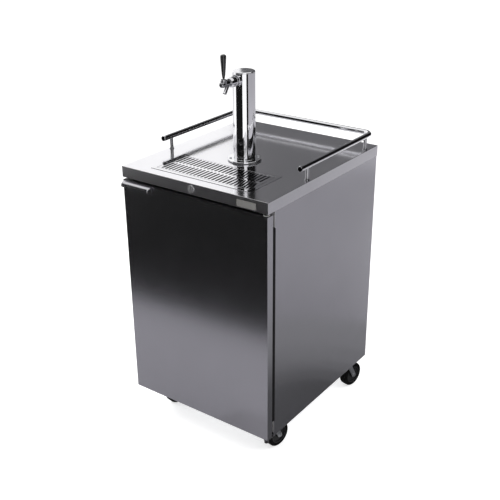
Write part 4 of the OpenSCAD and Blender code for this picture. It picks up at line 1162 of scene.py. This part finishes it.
def ring_faces(work, outer, inner):
    """Fill the flat band between an outline and a hole in it."""
    edges = []
    for loop in (outer, inner):
        for k in range(len(loop)):
            edge = work.edges.get((loop[k - 1], loop[k]))
            edges.append(edge or work.edges.new((loop[k - 1], loop[k])))
    bmesh.ops.triangle_fill(work, use_beauty=True, use_dissolve=False, edges=edges)


def grid_cell():
    """One slot with the plate round it, for the front row."""
    work = bmesh.new()
    slot = stack(work, [(slot_outline(SLOT_W, SLOT_L, grow), depth) for grow, depth in LIP])
    x, y0, y1 = PITCH / 2, slot_y - CELL_D, slot_y
    for loop, height in ((slot[0], 0.0), (slot[-1], -GRID_T)):
        border = [work.verts.new((px, py, height)) for px, py in ((-x, y0), (x, y0), (x, y1), (-x, y1))]
        ring_faces(work, border, loop)
    return to_mesh(work, "grid_cell")


columns = int((grid_w - GRID_MARGIN) / PITCH) + 1
start = Vector((grid_mid.x - (columns - 1) / 2 * PITCH, grid_mid.y - slot_y, grid_high.z))
front_cells = run_tree(
    rows, grid_cell(), "grid_front", Count=columns, Columns=columns, Across=(PITCH, 0, 0), Along=(0, 0, 0),
    Material=stainless
)
back_cells = front_cells.copy()
front_cells.transform(Matrix.Translation(start))
mirrored = Matrix.Diagonal((1, -1, 1, 1))
back_cells.transform(Matrix.Translation(start + Vector((0, 2 * slot_y, 0))) @ mirrored)


def grid_border():
    """The plain border round the cells, with its rounded outer edge."""
    work = bmesh.new()
    half_x, half_y = columns * PITCH / 2, CELL_D
    hole = [(half_x, half_y), (-half_x, half_y), (-half_x, -half_y), (half_x, -half_y)]
    edge = [(plate_outline(grid_w, grid_d, GRID_CORNER, inset), depth) for inset, depth in LIP]
    loops = stack(work, edge)
    for loop, height in ((loops[0], 0.0), (loops[-1], -GRID_T)):
        ring_faces(work, loop, [work.verts.new((x, y, height)) for x, y in hole])
    mesh = to_mesh(work, "grid_border")
    mesh.transform(Matrix.Translation((grid_mid.x, grid_mid.y, grid_high.z)))
    return mesh


grid_mesh = joined("tray_grid_slotted", front_cells, back_cells, grid_border(), weld=True)
grid = crisp(show_instead("tray_grid_slotted", grid_mesh, "tray_grid"))
paint(grid, grid_steel)
# The slot walls get the dark steel as painted shade inside the slots.
paint(grid, painted_shade_steel, lambda face: abs(face.normal.z) < 0.5)
print("grid", columns, "slots in a row,", len(grid_mesh.polygons), "faces")

# %% [markdown]
# ## Nameplate
#
# The plate on the skirt is a thin lacquered sheet with a rolled rim and a rivet at each end. A bevelled box
# has no raised border, so the rim is drawn as a stack of outlines, each a little smaller than the one
# before.


# %% Nameplate
PLATE_CORNER = 0.0035
PLATE_RIM = ((0, 0), (0, 0.7), (0.0003, 1.0), (0.0014, 1.0), (0.0018, 0.6))
RIVET_INSET = 0.005


def bare_plate():
    """The plate with its rim and two rivets."""
    low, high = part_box("nameplate")
    width, depth, height = high - low
    work = bmesh.new()
    rim = [(plate_outline(width, height, PLATE_CORNER, inset), depth * up) for inset, up in PLATE_RIM]
    loops = stack(work, rim)
    work.faces.new(loops[-1])
    work.faces.new(loops[0][::-1])
    bmesh.ops.recalc_face_normals(work, faces=work.faces)
    mesh = to_mesh(work, "plate")
    middle = (low.z + high.z) / 2
    turn = Matrix.Rotation(math.radians(90), 4, "X")
    mesh.transform(Matrix.Translation(((low.x + high.x) / 2, high.y, middle)) @ turn)
    rivet = softened([(0, 0.0004), (0.0016, 0.0004), (0.0013, 0.00085), (0, 0.00098)], 0.0003)
    rivets = [
        lathe("rivet", rivet, (x, high.y, middle), FORWARD, turns=24)
        for x in (low.x + RIVET_INSET, high.x - RIVET_INSET)
    ]
    return joined("nameplate_bare", mesh, *rivets)


plate = crisp(show_instead("nameplate_bare", bare_plate(), "nameplate"))
paint(plate, plate_lacquer)
print("plate", [round(size, 4) for size in plate.dimensions])

# %% [markdown]
# ## Door seal
#
# The seal is a soft rubber frame with a bellows along its edges, which a magnet inside pulls flat against
# the cabinet. Its section is the same all round and its corners are welded at 45 degrees, so each point of
# the section becomes one rectangle, and the rectangles are skinned in turn.


# %% Door seal
SEAL_WIDTH = 0.017
BELLOWS = [(0.0, 0.0), (0.0, 0.25), (0.0016, 0.42), (0.0004, 0.60), (0.0014, 0.90), (0.0030, 1.0)]


def seal_frame():
    """The seal's section, carried round the door as rectangles that shrink with its inset."""
    low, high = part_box("door_seal")
    section = BELLOWS + [(SEAL_WIDTH - inset, up) for inset, up in reversed(BELLOWS)]
    work = bmesh.new()
    loops = []
    for inset, up in softened(section, 0.0006, 3):
        y = low.y + up * (high.y - low.y)
        x0, x1 = low.x + inset, high.x - inset
        z0, z1 = low.z + inset, high.z - inset
        loops.append([work.verts.new((x, y, z)) for x, z in ((x0, z0), (x1, z0), (x1, z1), (x0, z1))])
    for first, second in zip(loops, loops[1:] + loops[:1]):
        skin(work, first, second)
    bmesh.ops.recalc_face_normals(work, faces=work.faces)
    return to_mesh(work, "door_seal_bellows", False)


seal = show_instead("door_seal_bellows", seal_frame(), "door_seal")
print("seal", [round(size, 4) for size in seal.dimensions])

# %% [markdown]
# ## Louvres and screws on the back
#
# Warm air leaves through two columns of slots in the back panel. Each slot has a pressed hood that sheds
# dust and drips. The side panels' folded edges are held by pan-head screws. Both repeat, so both come from
# the row tree.


# %% Louvres
HOOD_LENGTH = 0.212
HOOD_OUT = 0.0022
HOOD_SHEET = 0.0005


def hood():
    """One louvre hood along X, open at its lower side, standing out along +Y."""
    work = bmesh.new()
    section = [(0.0, 0.0060), (0.35, 0.0052), (0.75, 0.0025), (1.0, -0.0010), (1.0, -0.0035)]
    lines = []
    for share, pull in ((-0.5, 0.0), (-0.485, 0.8), (-0.46, 1.0), (0.46, 1.0), (0.485, 0.8), (0.5, 0.0)):
        lines.append([work.verts.new((share * HOOD_LENGTH, HOOD_OUT * y * pull, z)) for y, z in section])
    for first, second in zip(lines, lines[1:]):
        for k in range(len(section) - 1):
            work.faces.new((first[k], first[k + 1], second[k + 1], second[k]))
    bmesh.ops.remove_doubles(work, verts=work.verts, dist=POLE)
    bmesh.ops.recalc_face_normals(work, faces=work.faces)
    bmesh.ops.solidify(work, geom=work.faces, thickness=HOOD_SHEET)
    return to_mesh(work, "hood")


LOUVRES = 12
LOUVRE_X = 0.120
LOUVRE_STEP = 0.022
LOUVRE_Z = 0.163 + LOUVRE_STEP / 2
panel_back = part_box("back_panel")[1].y
hoods = run_tree(
    rows, hood(), "louvre_hoods", Count=2 * LOUVRES, Columns=2, Across=(2 * LOUVRE_X, 0, 0),
    Along=(0, 0, LOUVRE_STEP), Material=galvanised
)
hoods.transform(Matrix.Translation((-LOUVRE_X, panel_back, LOUVRE_Z)))
add_piece("louvre_hoods", hoods, ("back_panel",))
print(2 * LOUVRES, "louvre hoods")

# %% Screws
SCREWS = 7
SCREW_X = 0.2870
FIRST_SCREW = 0.03
SCREW_SPARE = 0.09
screw = [
    (0, -0.0002), (0.0042, -0.0002), (0.0040, 0.0007), (0.0026, 0.0013), (0.0016, 0.0013), (0.0013, 0.0006),
    (0, 0.0006)
]
head = lathe("screw_head", softened(screw, 0.0004, 2), (0, 0, 0), BACKWARD, turns=20)
fold_low, fold_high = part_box("right_side_panel")
span = fold_high.z - fold_low.z - SCREW_SPARE
screws = run_tree(
    rows, head, "back_screws", Count=2 * SCREWS, Columns=2, Across=(2 * SCREW_X, 0, 0),
    Along=(0, 0, span / (SCREWS - 1)), Material=zinc
)
screws.transform(Matrix.Translation((-SCREW_X, fold_high.y, fold_low.z + FIRST_SCREW)))
add_piece("back_screws", screws, ("right_side_panel",), "zinc")
print(2 * SCREWS, "screws,", round(1000 * span / (SCREWS - 1)), "mm apart")

# %% [markdown]
# ## Stage
#
# The photo's background is plain white, but the metal mirrors a darker studio. White paper alone would turn
# the steel to chalk. So the floor and the world are white, and a few cards, which only reflections see,
# stand for that studio.


# %% White floor and world
def seen_directly(wire):
    """One for what the camera sees, directly or in metal or glass."""
    rays = ("Is Camera Ray", "Is Glossy Ray", "Is Transmission Ray")
    straight, mirrored, through = (wire.node("ShaderNodeLightPath", output=ray) for ray in rays)
    return wire.math("MINIMUM", straight + mirrored + through, 1.0)


FILL = 0.62
world = bpy.data.worlds.new("white_studio")
scene.world = world
world.use_nodes = True
sky = world.node_tree.nodes["Background"]
sky.inputs["Color"].default_value = (1, 1, 1, 1)
glow = seen_directly(Wire(world.node_tree)) * (1 - FILL) + FILL
world.node_tree.links.new(glow.socket, sky.inputs["Strength"])


def stage_card(name, corners, finish, only_reflections=True):
    """A flat card of the studio, which isn't part of the object."""
    mesh = bpy.data.meshes.new(name)
    mesh.from_pydata(corners, [], [tuple(range(len(corners)))])
    mesh.materials.append(finish)
    card = bpy.data.objects.new(name, mesh)
    scene.collection.objects.link(card)
    if only_reflections:
        card.visible_camera = False
        card.visible_diffuse = False
        card.visible_shadow = False
        card.visible_transmission = False
    return card


def paper(name, shade, glow_share=0.0):
    """Matt studio paper, which may glow where the camera sees it."""
    finish, shader, place = blank_finish(name)
    tooth = noise(place, 40.0, 3.0)
    plug(shader, Base_Color=ramp(tooth, 0.3, 0.7, tinted(shade, 0.985), shade), Roughness=0.9)
    if glow_share:
        light = seen_directly(place) * glow_share
        plug(shader, Emission_Color=light, Emission_Strength=1.0)
    shader.inputs["Specular IOR Level"].default_value = 0.0
    return finish


FLOOR_HALF = 16.0
FLOOR_Z = -0.0004
floor = [(sx * FLOOR_HALF, sy * FLOOR_HALF, FLOOR_Z) for sx, sy in ((-1, -1), (1, -1), (1, 1), (-1, 1))]
white_paper = paper("white_paper", (0.80, 0.80, 0.80), 0.62)
stage_card("floor", floor, white_paper, only_reflections=False)
print("floor", 2 * FLOOR_HALF, "m wide")

# %% [markdown]
# ### Cards for the reflections
#
# The polished column shows the studio as upright stripes, so each stripe gives the bearing of a dark or a
# pale area. Those areas become bands of floor and walls round the column, at bearings counted from the
# front towards the right. The door mirrors the floor in front of it: grey near its foot and black further
# out.

# %% Reflection cards
black_card = paper("black_card", (0.012, 0.012, 0.012))
slate_card = paper("slate_card", (0.225, 0.225, 0.235))
shade_card = paper("shade_card", (0.31, 0.305, 0.325))
grey_card = paper("grey_card", (0.37, 0.365, 0.39))
lilac_card = paper("lilac_card", (0.66, 0.65, 0.69))
pale_card = paper("pale_card", (0.82, 0.82, 0.83), 0.22)
LAYER = 0.0008
WALL_RADIUS = 7.0


def bearing(angle, radius):
    """A place on the floor at a bearing and a distance from the column."""
    return (axis.x + radius * math.sin(math.radians(angle)), axis.y - radius * math.cos(math.radians(angle)))


def sector(start, end, near, far=WALL_RADIUS):
    """The outline of a band of floor between two bearings and two distances."""
    return [bearing(start, near), bearing(start, far), bearing(end, far), bearing(end, near)]


def floor_band(name, outline, finish, layer):
    """A card that lies on the floor, over the layers below it."""
    stage_card(name, [(x, y, layer * LAYER) for x, y in outline], finish)


def studio_wall(name, start, end, height, finish):
    """A flat wall card between two bearings."""
    (x0, y0), (x1, y1) = bearing(start, WALL_RADIUS), bearing(end, WALL_RADIUS)
    stage_card(name, [(x0, y0, 0), (x1, y1, 0), (x1, y1, height), (x0, y0, height)], finish)


# %% Bands of floor
front_grey = [(-1.7, -0.30), (-1.7, -1.2), (0.62, -1.5), (0.62, -0.30)]
floor_band("grey_floor_front", front_grey, grey_card, 1)
floor_band("shade_at_foot", [(0.30, -0.33), (0.30, -0.62), (0.02, -0.56), (-0.10, -0.33)], shade_card, 2)
front_black = [
    (-2.2, -0.915), bearing(-62, 3.3), bearing(-51, 3.3), bearing(-51, WALL_RADIUS), bearing(21, WALL_RADIUS),
    (0.42, -1.11)
]
floor_band("black_floor", front_black, black_card, 2)
front_corner = [bearing(21, 0.7), bearing(21, 2.4), bearing(79, 2.4), bearing(79, 0.6)]
floor_band("grey_floor_corner", front_corner, grey_card, 1)
right_side = [(0.30, -0.30), bearing(79, 0.65), bearing(79, 8), (8, 7.5), (3.0, 7.5), (0.30, 0.40)]
floor_band("grey_floor_right", right_side, grey_card, 1)
floor_band("black_strip", sector(61, 79, 2.4), black_card, 2)
FAR_START = 79
FAR_END = 207
FAR_STEP = 32
for side in range(FAR_START, FAR_END, FAR_STEP):
    floor_band(f"far_floor_{side}", sector(side, side + FAR_STEP, 3.2), lilac_card, 2)
floor_band("left_floor", sector(-143, -80, 1.0), pale_card, 1)
print("bands of floor reach", WALL_RADIUS, "m from the column")

# %% Walls
WALLS = {
    "front_wall_left": (-51, -10, 7.0, black_card), "front_wall_right": (-10, 31, 7.0, black_card),
    "right_wall_front": (61, 104, 6.0, black_card), "right_wall_back": (104, 140, 6.0, black_card),
    "back_wall_right": (140, 180, 9.0, black_card), "back_wall_left": (180, 217, 9.0, slate_card),
    "left_wall": (217, 262, 7.0, white_paper),
}
for name, (start_angle, end_angle, height, finish) in WALLS.items():
    studio_wall(name, start_angle, end_angle, height, finish)
print(len(WALLS), "walls of the studio")

# %% [markdown]
# The floor beside the cabinet lies in its shade, which fades with the distance from the cabinet's foot.
# Half discs of paper, each on top of a larger and paler one, give that fading, and the brushed side panel
# blurs the steps.

# %% Shade beside the cabinet
SHADE_LAYER = 3
SHADE = ((0.80, 0.335), (0.55, 0.30), (0.43, 0.25), (0.36, 0.19), (0.28, 0.14))
shade_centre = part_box("right_side_panel")[1].x
half_turn = [math.radians(angle) for angle in range(-90, 91, 15)]
for step, (radius, tone) in enumerate(SHADE):
    half_disc = [(shade_centre + radius * math.cos(turn), radius * math.sin(turn)) for turn in half_turn]
    finish = paper(f"shade_{step}", (tone, tone, tone * 1.04))
    floor_band(f"side_shade_{step}", half_disc, finish, SHADE_LAYER + step)
print(len(SHADE), "steps of shade")

# %% [markdown]
# ### Lamps
#
# Two soft lamps shape the cooler: a wide key lamp high on the left, and a weaker one behind on the right. A
# spot or a sun would draw hard shadows, which the photo doesn't have. Both are hidden from reflections,
# because the metal should mirror the studio's cards and not a lamp.


# %% Lamps
def soft_lamp(name, place, target, size, watts):
    """A square lamp that points at a target."""
    light = bpy.data.lights.new(name, "AREA")
    light.size = size
    light.energy = watts
    lamp = bpy.data.objects.new(name, light)
    scene.collection.objects.link(lamp)
    lamp.location = place
    lamp.visible_glossy = False
    lamp.rotation_euler = (Vector(target) - Vector(place)).to_track_quat("-Z", "Y").to_euler()
    return lamp


soft_lamp("key_lamp", (-2.6, -1.4, 3.4), (0, 0, 0.6), 2.2, 95)
soft_lamp("side_lamp", (2.8, 1.2, 3.0), (0, 0, 0.6), 1.8, 45)
print("two lamps")
